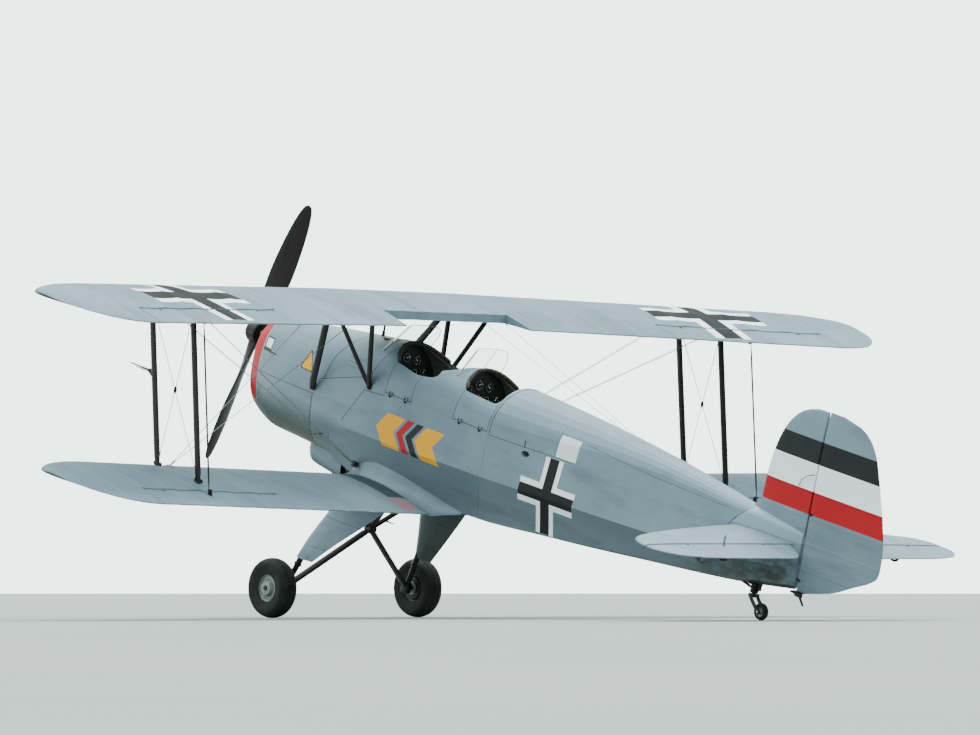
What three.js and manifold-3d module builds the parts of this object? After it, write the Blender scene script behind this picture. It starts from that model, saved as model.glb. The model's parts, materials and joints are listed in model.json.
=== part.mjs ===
// A two-seat open-cockpit training biplane, standing on its wheels and tail wheel.
// Everything is drawn on the level airframe: millimetres, x forward, y to port, z up, with the
// origin on the propeller shaft. The last group pitches it nose-up onto its three wheels.

import * as THREE from 'three';
import { mergeVertices } from 'three/addons/utils/BufferGeometryUtils.js';
import Module from 'manifold-3d';

const wasm = await Module();
wasm.setup();

// Driving dimensions
const PARKED_PITCH_DEG = 15.45;
const SEAT_GAP = 0.4;
const RUN_GAP = 7;
const WALL = 22;
const COWL_SKIN = 8;
const LIP_DEPTH = 27;

const SWEEP_DEG = 11.3;
const WING_CHORD = 1000;
const WING_RISE = 0.0165;
const TIP_RUN = 560;
const TIP_LIFT = 50;
const UPPER = { rootY: 570, leX: -1225, leZ: 550, dihedral: 1.54, halfSpan: 3700, tipAt: 0.35 };
const LOWER = { rootY: 345, leX: -1531, leZ: -701, dihedral: 4.03, halfSpan: 3690, tipAt: 0.39 };
const FRONT_SPAR = 0.148;
const REAR_SPAR = 0.598;
const CUTOUT_CHORD = 725;
const AILERON_HINGE = 0.77;
const AILERON_FROM = 1760;
const AILERON_TO = 3120;
const STRUT_Y = 2425;
const WIRE_Y = 2350;
const LINK_Y = 2500;

const COCKPIT_FRONT = -1056;
const COCKPIT_REAR = -2947;
const STERNPOST_X = -5780;
const FLOOR_Z = -430;

const TAIL_HINGE_X = -5740;
const TAIL_Z = -45;
const TAIL_HALF_SPAN = 1357;
const RUDDER_HINGE_X = -5812;
const RUDDER_NOSE = 20;

const WHEEL = { x: -1433, y: 672, z: -1511, radius: 210, width: 150 };
const AXLE_R = 18;
const TAIL_WHEEL = { x: -5513, z: -542, radius: 57, width: 44 };
const SWIVEL_X = -5415;

const PROP_RADIUS = 980;
const PROP_LEAN_DEG = 16;

const COLOURS = {
  dope: [0x9fb0b8, 0.45, 0.1],
  metal: [0xa7b3ba, 0.4, 0.4],
  ring: [0xb02030, 0.4, 0.1],
  dark: [0x1b1a1c, 0.5, 0.1],
  wood: [0x2a201c, 0.45, 0.0],
  steel: [0x6d7275, 0.35, 0.8],
  tyre: [0x17171a, 0.9, 0.0],
  leather: [0x1d1c1e, 0.75, 0.0],
  seat: [0x7b8078, 0.6, 0.3],
  glass: [0xdfe8ea, 0.05, 0.0],
};

// Small helpers
const rad = THREE.MathUtils.degToRad;
const lerp = THREE.MathUtils.lerp;
const V = (x, y, z) => new THREE.Vector3(x, y, z);

function mix(table, x, key) {
  // reads one column of a table whose rows run from high x to low x
  for (let i = 0; i < table.length - 1; i += 1) {
    const a = table[i];
    const b = table[i + 1];
    if (x <= a.x && x >= b.x) {
      return lerp(b[key], a[key], (x - b.x) / (a.x - b.x));
    }
  }
  return x > table[0].x ? table[0][key] : table[table.length - 1][key];
}

function toSolid(geometry) {
  const bare = geometry.clone();
  for (const name of Object.keys(bare.attributes)) {
    if (name !== 'position') bare.deleteAttribute(name);
  }
  const merged = mergeVertices(bare, 1e-3);
  const index = merged.index.array;
  const tris = [];
  for (let i = 0; i < index.length; i += 3) {
    const [a, b, c] = [index[i], index[i + 1], index[i + 2]];
    if (a !== b && b !== c && a !== c) tris.push(a, b, c);
  }
  return new wasm.Manifold(new wasm.Mesh({
    numProp: 3,
    vertProperties: new Float32Array(merged.attributes.position.array),
    triVerts: new Uint32Array(tris),
  }));
}

function toGeometry(shape) {
  const mesh = shape.getMesh();
  const geometry = new THREE.BufferGeometry();
  geometry.setAttribute('position', new THREE.BufferAttribute(Float32Array.from(mesh.vertProperties), 3));
  geometry.setIndex(new THREE.BufferAttribute(Uint32Array.from(mesh.triVerts), 1));
  geometry.computeVertexNormals();
  return geometry;
}

function capTriangles(ring) {
  // triangles of a flat ring, in the ring's own turning sense
  const box = new THREE.Box3().setFromPoints(ring);
  const size = box.getSize(V(0, 0, 0));
  const flat = [
    [size.x, (p) => [p.y, p.z]],
    [size.y, (p) => [p.z, p.x]],
    [size.z, (p) => [p.x, p.y]],
  ].sort((a, b) => a[0] - b[0])[0][1];
  const contour = ring.map((p) => new THREE.Vector2(...flat(p)));
  const faces = THREE.ShapeUtils.triangulateShape(contour, []);
  const area = THREE.ShapeUtils.area(contour);
  const faceArea = (f) => THREE.ShapeUtils.area(f.map((k) => contour[k]));
  return faces.map((f) => (faceArea(f) * area < 0 ? [f[0], f[2], f[1]] : f));
}

function loft(rings, looped = false) {
  const count = rings[0].length;
  const points = rings.flat();
  const tris = [];
  const last = looped ? rings.length : rings.length - 1;
  for (let r = 0; r < last; r += 1) {
    for (let k = 0; k < count; k += 1) {
      const a = r * count + k;
      const b = r * count + ((k + 1) % count);
      const c = ((r + 1) % rings.length) * count + k;
      const d = ((r + 1) % rings.length) * count + ((k + 1) % count);
      tris.push([a, b, d], [a, d, c]);
    }
  }
  if (!looped) {
    const base = (rings.length - 1) * count;
    for (const f of capTriangles(rings[0])) tris.push([f[0], f[2], f[1]]);
    for (const f of capTriangles(rings[rings.length - 1])) tris.push(f.map((k) => base + k));
  }
  let volume = 0;
  for (const [a, b, c] of tris) {
    volume += points[a].dot(V(0, 0, 0).crossVectors(points[b], points[c]));
  }
  const geometry = new THREE.BufferGeometry().setFromPoints(points);
  geometry.setIndex(tris.flatMap((t) => (volume < 0 ? [t[0], t[2], t[1]] : t)));
  return toSolid(geometry);
}

function box(low, high) {
  const geometry = new THREE.BoxGeometry(high[0] - low[0], high[1] - low[1], high[2] - low[2]);
  geometry.translate((high[0] + low[0]) / 2, (high[1] + low[1]) / 2, (high[2] + low[2]) / 2);
  return toSolid(geometry);
}

function rod(from, to, radius, sides = 10, depth = radius, facing = V(1, 0, 0)) {
  // a tube or, with a depth of its own, a streamlined strut whose chord lies along `facing`
  const along = to.clone().sub(from);
  const length = along.length();
  along.normalize();
  const lead = Math.abs(along.dot(facing)) > 0.99 ? V(0, 0, 1) : facing;
  const chord = lead.clone().addScaledVector(along, -lead.dot(along)).normalize();
  const across = V(0, 0, 0).crossVectors(chord, along).normalize();
  const geometry = new THREE.CylinderGeometry(1, 1, length, sides, 1);
  geometry.scale(depth, 1, radius);
  const centre = from.clone().add(to).multiplyScalar(0.5);
  geometry.applyMatrix4(new THREE.Matrix4().makeBasis(chord, along, across).setPosition(centre));
  return toSolid(geometry);
}

function block(centre, s, f, half) {
  // a box on the axes s, f and their cross product
  const n = V(0, 0, 0).crossVectors(s, f);
  const geometry = new THREE.BoxGeometry(2 * half[0], 2 * half[1], 2 * half[2]);
  geometry.applyMatrix4(new THREE.Matrix4().makeBasis(s, f, n).setPosition(centre));
  return toSolid(geometry);
}

function ball(centre, radius, stretch = 1) {
  const geometry = new THREE.SphereGeometry(radius, 8, 6);
  geometry.scale(1, 1, stretch);
  geometry.translate(centre.x, centre.y, centre.z);
  return toSolid(geometry);
}

function lathe(profile, centre, segments) {
  // profile: rows of [radius, offset along y]
  const geometry = new THREE.LatheGeometry(profile.map((p) => new THREE.Vector2(...p)), segments);
  geometry.translate(centre.x, centre.y, centre.z);
  return toSolid(geometry);
}

const union = (list) => list.reduce((a, b) => a.add(b));

const airframe = new THREE.Group();

function piece(name, shape, [color, roughness, metalness]) {
  const material = new THREE.MeshStandardMaterial({ color, roughness, metalness });
  if (color === COLOURS.glass[0]) {
    material.transparent = true;
    material.opacity = 0.35;
  }
  const mesh = new THREE.Mesh(toGeometry(shape), material);
  mesh.name = name;
  airframe.add(mesh);
}

function hinge(fixed, moving, at, axis, forward, nose) {
  // a lug on the fixed part holds a short pin at the hinge line, in a notch of the moving part
  const reach = nose + RUN_GAP + 12;
  const out = at.clone().addScaledVector(forward, reach / 2);
  const pinEnd = (d) => at.clone().addScaledVector(axis, d);
  const lug = union([
    block(out, axis, forward, [7, reach / 2, 7]),
    rod(pinEnd(-7), pinEnd(7), 9, 8),
    rod(pinEnd(-17), pinEnd(17), 4, 6),
  ]);
  const room = block(at.clone().addScaledVector(forward, 30), axis, forward, [10, 45, nose + 12]);
  const hole = rod(pinEnd(-19), pinEnd(19), 5, 6);
  return [fixed.add(lug), moving.subtract(room).subtract(hole)];
}

// Fuselage
// nose: half width, top, bottom and squareness of the rounded cowl sections
const COWL = [
  { x: -150, half: 140, top: 104, bottom: -480, power: 2.3 },
  { x: -250, half: 165, top: 142, bottom: -537, power: 2.3 },
  { x: -460, half: 218, top: 188, bottom: -592, power: 2.4 },
  { x: -750, half: 264, top: 230, bottom: -598, power: 2.5 },
  { x: -1056, half: 294, top: 266, bottom: -606, power: 2.7 },
  { x: -1600, half: 322, top: 328, bottom: -690, power: 2.7 },
];
// body: crown; shoulder line; power of the crown's arch; widest line; lower edge; keel
const BODY = [
  { x: -1056, crown: 266, deckZ: -20, deckY: 288, arch: 2.0, midZ: -320, midY: 303, lowZ: -560, lowY: 240,
    keel: -610 },
  { x: -1600, crown: 328, deckZ: -20, deckY: 315, arch: 2.0, midZ: -335, midY: 330, lowZ: -640, lowY: 270,
    keel: -690 },
  { x: -1690, crown: 335, deckZ: -18, deckY: 316, arch: 2.1, midZ: -334, midY: 330, lowZ: -638, lowY: 270,
    keel: -688 },
  { x: -2070, crown: 225, deckZ: -10, deckY: 318, arch: 3.4, midZ: -328, midY: 332, lowZ: -630, lowY: 269,
    keel: -680 },
  { x: -2200, crown: 262, deckZ: -8, deckY: 317, arch: 2.8, midZ: -324, midY: 331, lowZ: -626, lowY: 268,
    keel: -675 },
  { x: -2450, crown: 332, deckZ: -4, deckY: 315, arch: 2.1, midZ: -315, midY: 330, lowZ: -618, lowY: 266,
    keel: -667 },
  { x: -2947, crown: 313, deckZ: 0, deckY: 310, arch: 2.0, midZ: -305, midY: 325, lowZ: -605, lowY: 260,
    keel: -648 },
  { x: -3600, crown: 286, deckZ: 42, deckY: 248, arch: 2.0, midZ: -290, midY: 290, lowZ: -550, lowY: 228,
    keel: -592 },
  { x: -4370, crown: 230, deckZ: 90, deckY: 170, arch: 2.0, midZ: -272, midY: 240, lowZ: -465, lowY: 182,
    keel: -508 },
  { x: -5245, crown: 126, deckZ: 64, deckY: 95, arch: 2.0, midZ: -240, midY: 142, lowZ: -372, lowY: 98,
    keel: -406 },
  { x: -5780, crown: 62, deckZ: 36, deckY: 24, arch: 2.0, midZ: -180, midY: 34, lowZ: -292, lowY: 24,
    keel: -316 },
];
const RING_ANGLES = [0, 14, 28, 42, 56, 70, 84, 92, 104, 120, 138, 160, 180];

function fuselageRing(x, inset) {
  const round = x >= COCKPIT_FRONT ? 1 : Math.max(0, (x + 1600) / (COCKPIT_FRONT + 1600));
  const c = (key) => mix(COWL, x, key);
  const b = (key) => mix(BODY, x, key);
  const [half, top, bottom] = [c('half') - inset, c('top') - inset, c('bottom') + inset];
  const e = 2 / c('power');
  const oval = RING_ANGLES.map((deg) => [
    half * Math.sin(rad(deg)) ** e,
    (top + bottom) / 2
      + ((top - bottom) / 2) * Math.sign(Math.cos(rad(deg))) * Math.abs(Math.cos(rad(deg))) ** e,
  ]);
  const [deckY, deckZ] = [b('deckY') - inset, b('deckZ')];
  const rise = b('crown') - inset - deckZ;
  const g = 2 / b('arch');
  const panelled = [0, 15, 30, 45, 60, 75, 90].map((deg) => [
    deckY * Math.sin(rad(deg)) ** g,
    deckZ + rise * Math.abs(Math.cos(rad(deg))) ** g,
  ]);
  panelled[6][1] = deckZ;
  const mid = [b('midY') - inset, b('midZ')];
  const low = [b('lowY') - inset, b('lowZ') + inset * 0.5];
  const keel = [0, b('keel') + inset];
  panelled.push([(deckY + mid[0]) / 2, (deckZ + mid[1]) / 2], mid);
  panelled.push([(mid[0] + low[0]) / 2, (mid[1] + low[1]) / 2], low);
  panelled.push([(low[0] + keel[0]) / 2, (low[1] + keel[1]) / 2], keel);
  const half12 = oval.map((p, k) => [lerp(panelled[k][0], p[0], round), lerp(panelled[k][1], p[1], round)]);
  half12[0][0] = 0;
  half12[12][0] = 0;
  const ring = half12.map(([y, z]) => V(x, y, z));
  for (let k = 11; k > 0; k -= 1) ring.push(V(x, -half12[k][0], half12[k][1]));
  return ring;
}

function fuselage(from, to, inset = 0) {
  const stations = [...COWL, ...BODY].map((row) => row.x).filter((x) => x < from && x > to);
  const xs = [from, ...new Set(stations), to].sort((a, b) => b - a);
  return loft(xs.map((x) => fuselageRing(x, inset)));
}

function skinY(x, z) {
  // half width of the fuselage at a height
  const ring = fuselageRing(x, 0).slice(0, 13);
  for (let k = 0; k < 12; k += 1) {
    const [a, b] = [ring[k], ring[k + 1]];
    if (z <= a.z && z >= b.z) return lerp(b.y, a.y, (z - b.z) / (a.z - b.z || 1));
  }
  return 0;
}

const skinCutter = fuselage(-100, -5900, -SEAT_GAP);

// nose lip round the air intake
const lip = loft([[-150, 22], [-158, 6], [-178, 0], [-250, 0]].map(([x, inset]) => fuselageRing(x, inset)));
const intake = loft([-100, -250.5].map((x) => fuselageRing(x, LIP_DEPTH)));
piece('nose_ring', lip.subtract(intake), COLOURS.ring);

const cowlOuter = fuselage(-250 - SEAT_GAP, COCKPIT_FRONT);
const cowlInner = fuselage(-200, COCKPIT_FRONT - 20, COWL_SKIN);
piece('engine_cowl', cowlOuter.subtract(cowlInner), COLOURS.metal);

// cooling air outlet under the cowl, open at its rear
const OUTLET = [
  { x: -850, half: 60, low: -614 }, { x: -880, half: 82, low: -690 }, { x: -920, half: 90, low: -724 },
  { x: -1100, half: 90, low: -750 }, { x: -1250, half: 88, low: -772 },
];
const outletRing = ({ x, half, low }, skin = 0) => [
  [half - skin, -560], [half - skin, low + 30], [half - 25, low + skin],
  [25 - half, low + skin], [skin - half, low + 30], [skin - half, -560],
].map(([y, z]) => V(x, y, z));
const duct = loft([outletRing(OUTLET[3], 10), outletRing({ ...OUTLET[4], x: -1251 }, 10)]);
piece('air_outlet', loft(OUTLET.map((row) => outletRing(row))).subtract(duct).subtract(skinCutter),
  COLOURS.metal);

// plain block of the inverted four-cylinder engine with its shaft and bearers
const engine = union([
  box([-1000, -105, -430], [-330, 105, 80]),
  rod(V(-340, 0, 0), V(-20, 0, 0), 24, 16),
  box([COCKPIT_FRONT + SEAT_GAP, -150, -70], [-900, -100, -20]),
  box([COCKPIT_FRONT + SEAT_GAP, 100, -70], [-900, 150, -20]),
]);
piece('engine_block', engine, COLOURS.steel);

// cockpit section: firewall, floorless shell, two openings in the deck, two folding side flaps
const DOORS = [
  { name: 'front_door', x1: -1840, x2: -2120 },
  { name: 'rear_door', x1: -2570, x2: -2925 },
];
const DOOR_LOW = 8;
const RIM_RADIUS = 13;
const OPENINGS = [
  { name: 'front', outline: [[-1672, 0], [-1700, 110], [-1760, 205], [-1830, 248], [-2200, 248],
    [-2250, 225], [-2200, 160], [-2120, 70], [-2090, 0]] },
  { name: 'rear', outline: [[-2452, 0], [-2475, 110], [-2520, 205], [-2570, 248], [-2900, 248],
    [-2925, 225], [-2925, 150], [-2925, 70], [-2925, 0]] },
];

function plan(outline, low, high) {
  const full = [...outline, ...outline.slice(1, -1).reverse().map(([x, y]) => [x, -y])];
  return loft([low, high].map((z) => full.map(([x, y]) => V(x, y, z))));
}

let shell = fuselage(COCKPIT_FRONT - SEAT_GAP, COCKPIT_REAR);
const cavity = fuselage(COCKPIT_FRONT - 12, COCKPIT_REAR - 60, WALL);
shell = shell.subtract(cavity);
for (const opening of OPENINGS) shell = shell.subtract(plan(opening.outline, 60, 600));

const doorKnuckles = [];
for (const door of DOORS) {
  const frame = box([door.x2 - 5, 200, DOOR_LOW - 5], [door.x1 + 5, 400, 500]);
  const leaf = box([door.x2, 200, DOOR_LOW], [door.x1, 400, 500]);
  let panel = shell.intersect(leaf);
  shell = shell.subtract(frame);
  const axisY = skinY((door.x1 + door.x2) / 2, DOOR_LOW) + 9;
  const slope = (skinY(door.x1, 0) - skinY(door.x2, 0)) / (door.x1 - door.x2);
  const axis = V(1, slope, 0).normalize();
  for (const k of [0.2, 0.8]) {
    const x = lerp(door.x1, door.x2, k);
    const at = V(x, axisY + slope * (x - (door.x1 + door.x2) / 2), DOOR_LOW - 2);
    const end = (d) => at.clone().addScaledVector(axis, d);
    const post = box([x - 6, at.y - 22, at.z - 20], [x + 6, at.y + 4, at.z - 8]);
    shell = shell.add(union([
      post,
      box([x - 6, at.y - 4, at.z - 12], [x + 6, at.y + 4, at.z]),
      rod(end(-6), end(6), 6, 6),
      rod(end(-15), end(15), 3, 6),
    ]));
    const ears = union([-1, 1].map((d) => union([
      box([x + d * 14 - 5, at.y - 22, at.z + 8], [x + d * 14 + 5, at.y + 4, at.z + 20]),
      box([x + d * 14 - 5, at.y - 4, at.z], [x + d * 14 + 5, at.y + 4, at.z + 12]),
      rod(end(d * 9), end(d * 19), 6, 6),
    ])));
    panel = panel.add(ears).subtract(rod(end(-30), end(30), 3.8, 6));
  }
  doorKnuckles.push({ name: door.name, panel });
}
piece('cockpit_shell', shell, COLOURS.dope);
for (const { name, panel } of doorKnuckles) piece(name, panel, COLOURS.dope);

// floor, instrument panels and bulkhead cut to fit inside the shell
const inside = fuselage(COCKPIT_FRONT - 12 - SEAT_GAP, COCKPIT_REAR, WALL + SEAT_GAP);
piece('cockpit_floor', inside.intersect(box([-2940, -400, FLOOR_Z - 14], [-1096, 400, FLOOR_Z])),
  COLOURS.wood);
const PANELS = [{ name: 'front_panel', x: -1640 }, { name: 'rear_panel', x: -2430 }];
for (const { name, x } of PANELS) {
  piece(name, inside.intersect(box([x, -400, 20], [x + 14, 400, 500])), COLOURS.dark);
}

// bucket seats on their pedestals, and a stick before each
const SEATS = [
  { who: 'front', back: -2275, lean: 30, stickX: -1860 },
  { who: 'rear', back: -2890, lean: 20, stickX: -2512 },
];
for (const { who, back, lean, stickX } of SEATS) {
  const z = FLOOR_Z + SEAT_GAP;
  const front = back + 330;
  const seat = union([
    box([back + 60, -90, z], [front - 80, 90, z + 110]),
    box([back + 20, -190, z + 100], [front, 190, z + 125]),
    loft([-190, 190].map((y) => [V(back + 20, y, z + 100), V(back + 48, y, z + 100),
      V(back + 28 - lean, y, z + 560), V(back - lean, y, z + 560)])),
    ...[-1, 1].map((s) => box([back + 25, s > 0 ? 172 : -190, z + 120],
      [front - 40, s > 0 ? 190 : -172, z + 250])),
  ]);
  piece(`${who}_seat`, seat, COLOURS.seat);
  const grip = V(stickX - 40, 0, FLOOR_Z + 400);
  piece(`${who}_stick`, union([
    rod(V(stickX, 0, z), V(stickX, 0, z + 40), 34, 12),
    rod(V(stickX, 0, z + 30), grip, 11, 8),
    rod(grip, grip.clone().add(V(-10, 0, 95)), 16, 8),
  ]), COLOURS.dark);
}

// height of the deck above a point of the plan
function deckZ(x, y) {
  const crown = fuselageRing(x, 0);
  for (let i = 0; i < 6; i += 1) {
    const [a, b] = [crown[i], crown[i + 1]];
    if (Math.abs(y) >= a.y && Math.abs(y) <= b.y) return lerp(a.z, b.z, (Math.abs(y) - a.y) / (b.y - a.y));
  }
  return crown[0].z;
}

// padded rolls seated inside the front half of each opening's edge, and the two windscreens
for (const { name, outline } of OPENINGS) {
  const side = outline.slice(0, 4);
  const edge = [...side.slice(1).reverse().map(([x, y]) => V(x, -y, 0)),
    ...side.map(([x, y]) => V(x, y, 0))];
  const inward = (a, b) => V(a.y - b.y, b.x - a.x, 0).normalize();
  const rings = edge.map((at, k) => {
    const ahead = inward(edge[Math.max(k - 1, 0)], edge[Math.max(k, 1)]);
    const behind = inward(edge[Math.min(k, edge.length - 2)], edge[Math.min(k + 1, edge.length - 1)]);
    const across = ahead.clone().add(behind).normalize();
    const centre = at.clone().addScaledVector(across, (RIM_RADIUS + SEAT_GAP) / across.dot(ahead));
    centre.z = deckZ(at.x, centre.y) - 4;
    return [...Array(10).keys()].map((i) => centre.clone()
      .addScaledVector(across, RIM_RADIUS * Math.cos((i / 10) * 2 * Math.PI))
      .add(V(0, 0, RIM_RADIUS * 1.2 * Math.sin((i / 10) * 2 * Math.PI))));
  });
  piece(`${name}_rim`, loft(rings), COLOURS.leather);
}
const SCREENS = [
  { name: 'front_windscreen', x: -1577, z: 333, height: 128, back: 120 },
  { name: 'rear_windscreen', x: -2310, z: 292, height: 180, back: 120 },
];
for (const { name, x, z, height, back } of SCREENS) {
  const edge = [[-105, 185], [-8, 95], [-8, -95], [-105, -185]];
  const ring = (t, dx) => edge.map(([ex, ey]) => V(x + ex + dx - back * t, ey * (1 - 0.12 * t),
    z + height * t));
  const sheet = (t) => [...ring(t, 0), ...ring(t, -5).reverse()];
  piece(name, loft([sheet(-1.4), sheet(1)]).subtract(skinCutter), COLOURS.glass);
}

// Wings
// wing section: fraction of chord, height of the upper and lower surface
const SECTION = [
  { x: 0, up: 0.001, low: -0.001 },
  { x: -0.012, up: 0.026, low: -0.013 },
  { x: -0.05, up: 0.05, low: -0.02 },
  { x: -0.13, up: 0.073, low: -0.025 },
  { x: -0.27, up: 0.087, low: -0.027 },
  { x: -0.43, up: 0.084, low: -0.025 },
  { x: -0.62, up: 0.066, low: -0.018 },
  { x: -0.82, up: 0.035, low: -0.009 },
  { x: -1, up: 0.004, low: -0.004 },
];

function sectionRing(y, leX, leZ, chord, grow = 0, until = 1) {
  const rows = SECTION.filter((row) => -row.x < until);
  rows.push({ x: -until, up: mix(SECTION, -until, 'up'), low: mix(SECTION, -until, 'low') });
  const shift = (row) => (row === rows[0] ? grow : row === rows[rows.length - 1] ? -grow : 0);
  const upper = rows.map((row) => V(leX + row.x * chord + shift(row), y,
    leZ + (row.up - row.x * WING_RISE) * chord + grow));
  const lower = rows.map((row) => V(leX + row.x * chord + shift(row), y,
    leZ + (row.low - row.x * WING_RISE) * chord - grow));
  return [...upper, ...lower.reverse()];
}

function planform(wing, span) {
  const out = Math.max(0, span - wing.rootY);
  const t = Math.max(0, (span - (wing.halfSpan - TIP_RUN)) / TIP_RUN);
  const k = Math.sqrt(Math.max(0, 1 - t * t));
  return {
    leX: wing.leX - Math.tan(rad(SWEEP_DEG)) * out - wing.tipAt * WING_CHORD * (1 - k),
    leZ: wing.leZ + Math.tan(rad(wing.dihedral)) * out + TIP_LIFT * (1 - k),
    chord: WING_CHORD * k,
  };
}

function wingPoint(wing, y, fraction, surface) {
  const { leX, leZ, chord } = planform(wing, Math.abs(y));
  const up = mix(SECTION, -fraction, 'up');
  const low = mix(SECTION, -fraction, 'low');
  const height = { up, low, mid: (up + low) / 2 }[surface];
  return V(leX - fraction * chord, y, leZ + (height + fraction * WING_RISE) * chord);
}

function panelSolid(wing, side, grow = 0) {
  const tips = [0, 0.4, 0.68, 0.87, 0.96, 0.993].map((t) => wing.halfSpan - TIP_RUN * (1 - t));
  const spans = [wing.rootY + SEAT_GAP - grow, ...tips];
  return loft(spans.map((span) => {
    const { leX, leZ, chord } = planform(wing, span);
    return sectionRing(side * span, leX, leZ, chord, grow);
  }));
}

function aileronSolid(wing, side) {
  const rings = [AILERON_FROM, (AILERON_FROM + AILERON_TO) / 2, AILERON_TO].map((span) => {
    const at = (fraction, surface) => wingPoint(wing, side * span, fraction, surface);
    const axis = at(AILERON_HINGE, 'mid');
    const nose = at(AILERON_HINGE, 'up').z - axis.z;
    const arc = [60, 30, 0, -30, -60].map((deg) => axis.clone()
      .add(V(nose * Math.cos(rad(deg)), 0, nose * Math.sin(rad(deg)))));
    return [
      at(1, 'up'), at(0.88, 'up'), at(AILERON_HINGE, 'up'), ...arc,
      at(AILERON_HINGE, 'low'), at(0.88, 'low'), at(1, 'low'),
    ];
  });
  return loft(rings);
}

const WING_NAMES = { upper: UPPER, lower: LOWER };
const wingCutters = {};
for (const [level, wing] of Object.entries(WING_NAMES)) {
  for (const [hand, side] of [['left', 1], ['right', -1]]) {
    let panel = panelSolid(wing, side);
    const at = (span, fraction, surface) => wingPoint(wing, side * span, fraction, surface);
    const nose = at(2400, AILERON_HINGE, 'up').z - at(2400, AILERON_HINGE, 'mid').z;
    const bay = loft([AILERON_FROM - RUN_GAP, AILERON_TO + RUN_GAP].map((span) => {
      const axis = at(span, AILERON_HINGE, 'mid');
      const front = axis.x + nose + RUN_GAP;
      const rear = axis.x - WING_CHORD * 0.4;
      const corners = [[front, -150], [front, 150], [rear, 150], [rear, -150]];
      return corners.map(([x, z]) => V(x, side * span, axis.z + z));
    }));
    panel = panel.subtract(bay);
    let aileron = aileronSolid(wing, side);
    const inner = at(AILERON_FROM, AILERON_HINGE, 'mid');
    const outer = at(AILERON_TO, AILERON_HINGE, 'mid');
    const axis = outer.clone().sub(inner).normalize();
    const forward = V(1, 0, 0).addScaledVector(axis, -axis.x).normalize();
    for (const k of [0.14, 0.86]) {
      [panel, aileron] = hinge(panel, aileron, inner.clone().lerp(outer, k), axis, forward, nose);
    }
    // horn for the link rod, above the lower aileron and below the upper one
    const foot = at(LINK_Y, AILERON_HINGE + 0.045, level === 'upper' ? 'low' : 'up');
    const tip = foot.clone().add(V(0, 0, level === 'upper' ? -34 : 34));
    aileron = aileron.add(loft([-4, 4].map((dy) => [
      V(foot.x - 26, foot.y + dy, foot.z - Math.sign(tip.z - foot.z) * 10),
      V(foot.x + 26, foot.y + dy, foot.z - Math.sign(tip.z - foot.z) * 10),
      V(tip.x + 11, tip.y + dy, tip.z), V(tip.x - 11, tip.y + dy, tip.z),
    ])));
    const eye = V(tip.x, tip.y, tip.z - Math.sign(tip.z - foot.z) * 10);
    if (level === 'lower') aileron = aileron.add(rod(eye, eye.clone().add(V(0, side * 21, 0)), 4, 8));
    wingCutters[`${level}_${hand}`] = panelSolid(wing, side, SEAT_GAP);
    piece(`${level}_wing_${hand}`, panel, COLOURS.dope);
    piece(`${level}_aileron_${hand}`, aileron, COLOURS.dope);
  }
}

// flat-backed centre section of the upper wing
const centreRing = (y, grow) => sectionRing(y, UPPER.leX, UPPER.leZ, WING_CHORD, grow,
  CUTOUT_CHORD / WING_CHORD);
const centreSolid = (grow) => loft(
  [-UPPER.rootY - grow, UPPER.rootY + grow].map((y) => centreRing(y, grow)),
);
piece('upper_wing_centre', centreSolid(0), COLOURS.dope);
const centreCutter = centreSolid(SEAT_GAP);

// lower wing centre under the fuselage, with its root fillets
const lowerCentre = loft(
  [-LOWER.rootY, LOWER.rootY].map((y) => sectionRing(y, LOWER.leX, LOWER.leZ, WING_CHORD)),
);
const FILLET = [
  { x: -1600, top: -600 }, { x: -1760, top: -548 }, { x: -2000, top: -530 },
  { x: -2300, top: -545 }, { x: -2560, top: -575 }, { x: -2770, top: -605 },
];
const fillets = [-1, 1].map((side) => loft(FILLET.map(({ x, top }) => {
  const foot = x > -2531
    ? wingPoint(LOWER, LOWER.rootY, (-1531 - x) / WING_CHORD, 'up').z
    : lerp(-697, -640, (-2531 - x) / 239);
  const reach = x > -2531 ? LOWER.rootY : lerp(LOWER.rootY, 292, (-2531 - x) / 239);
  return [V(x, side * 200, -650), V(x, side * 200, top), V(x, side * (skinY(x, top) + 6), top),
    V(x, side * reach, foot + 6), V(x, side * reach, foot - 12)];
})));
piece('lower_wing_centre', union([lowerCentre, ...fillets]).subtract(skinCutter), COLOURS.dope);

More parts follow.
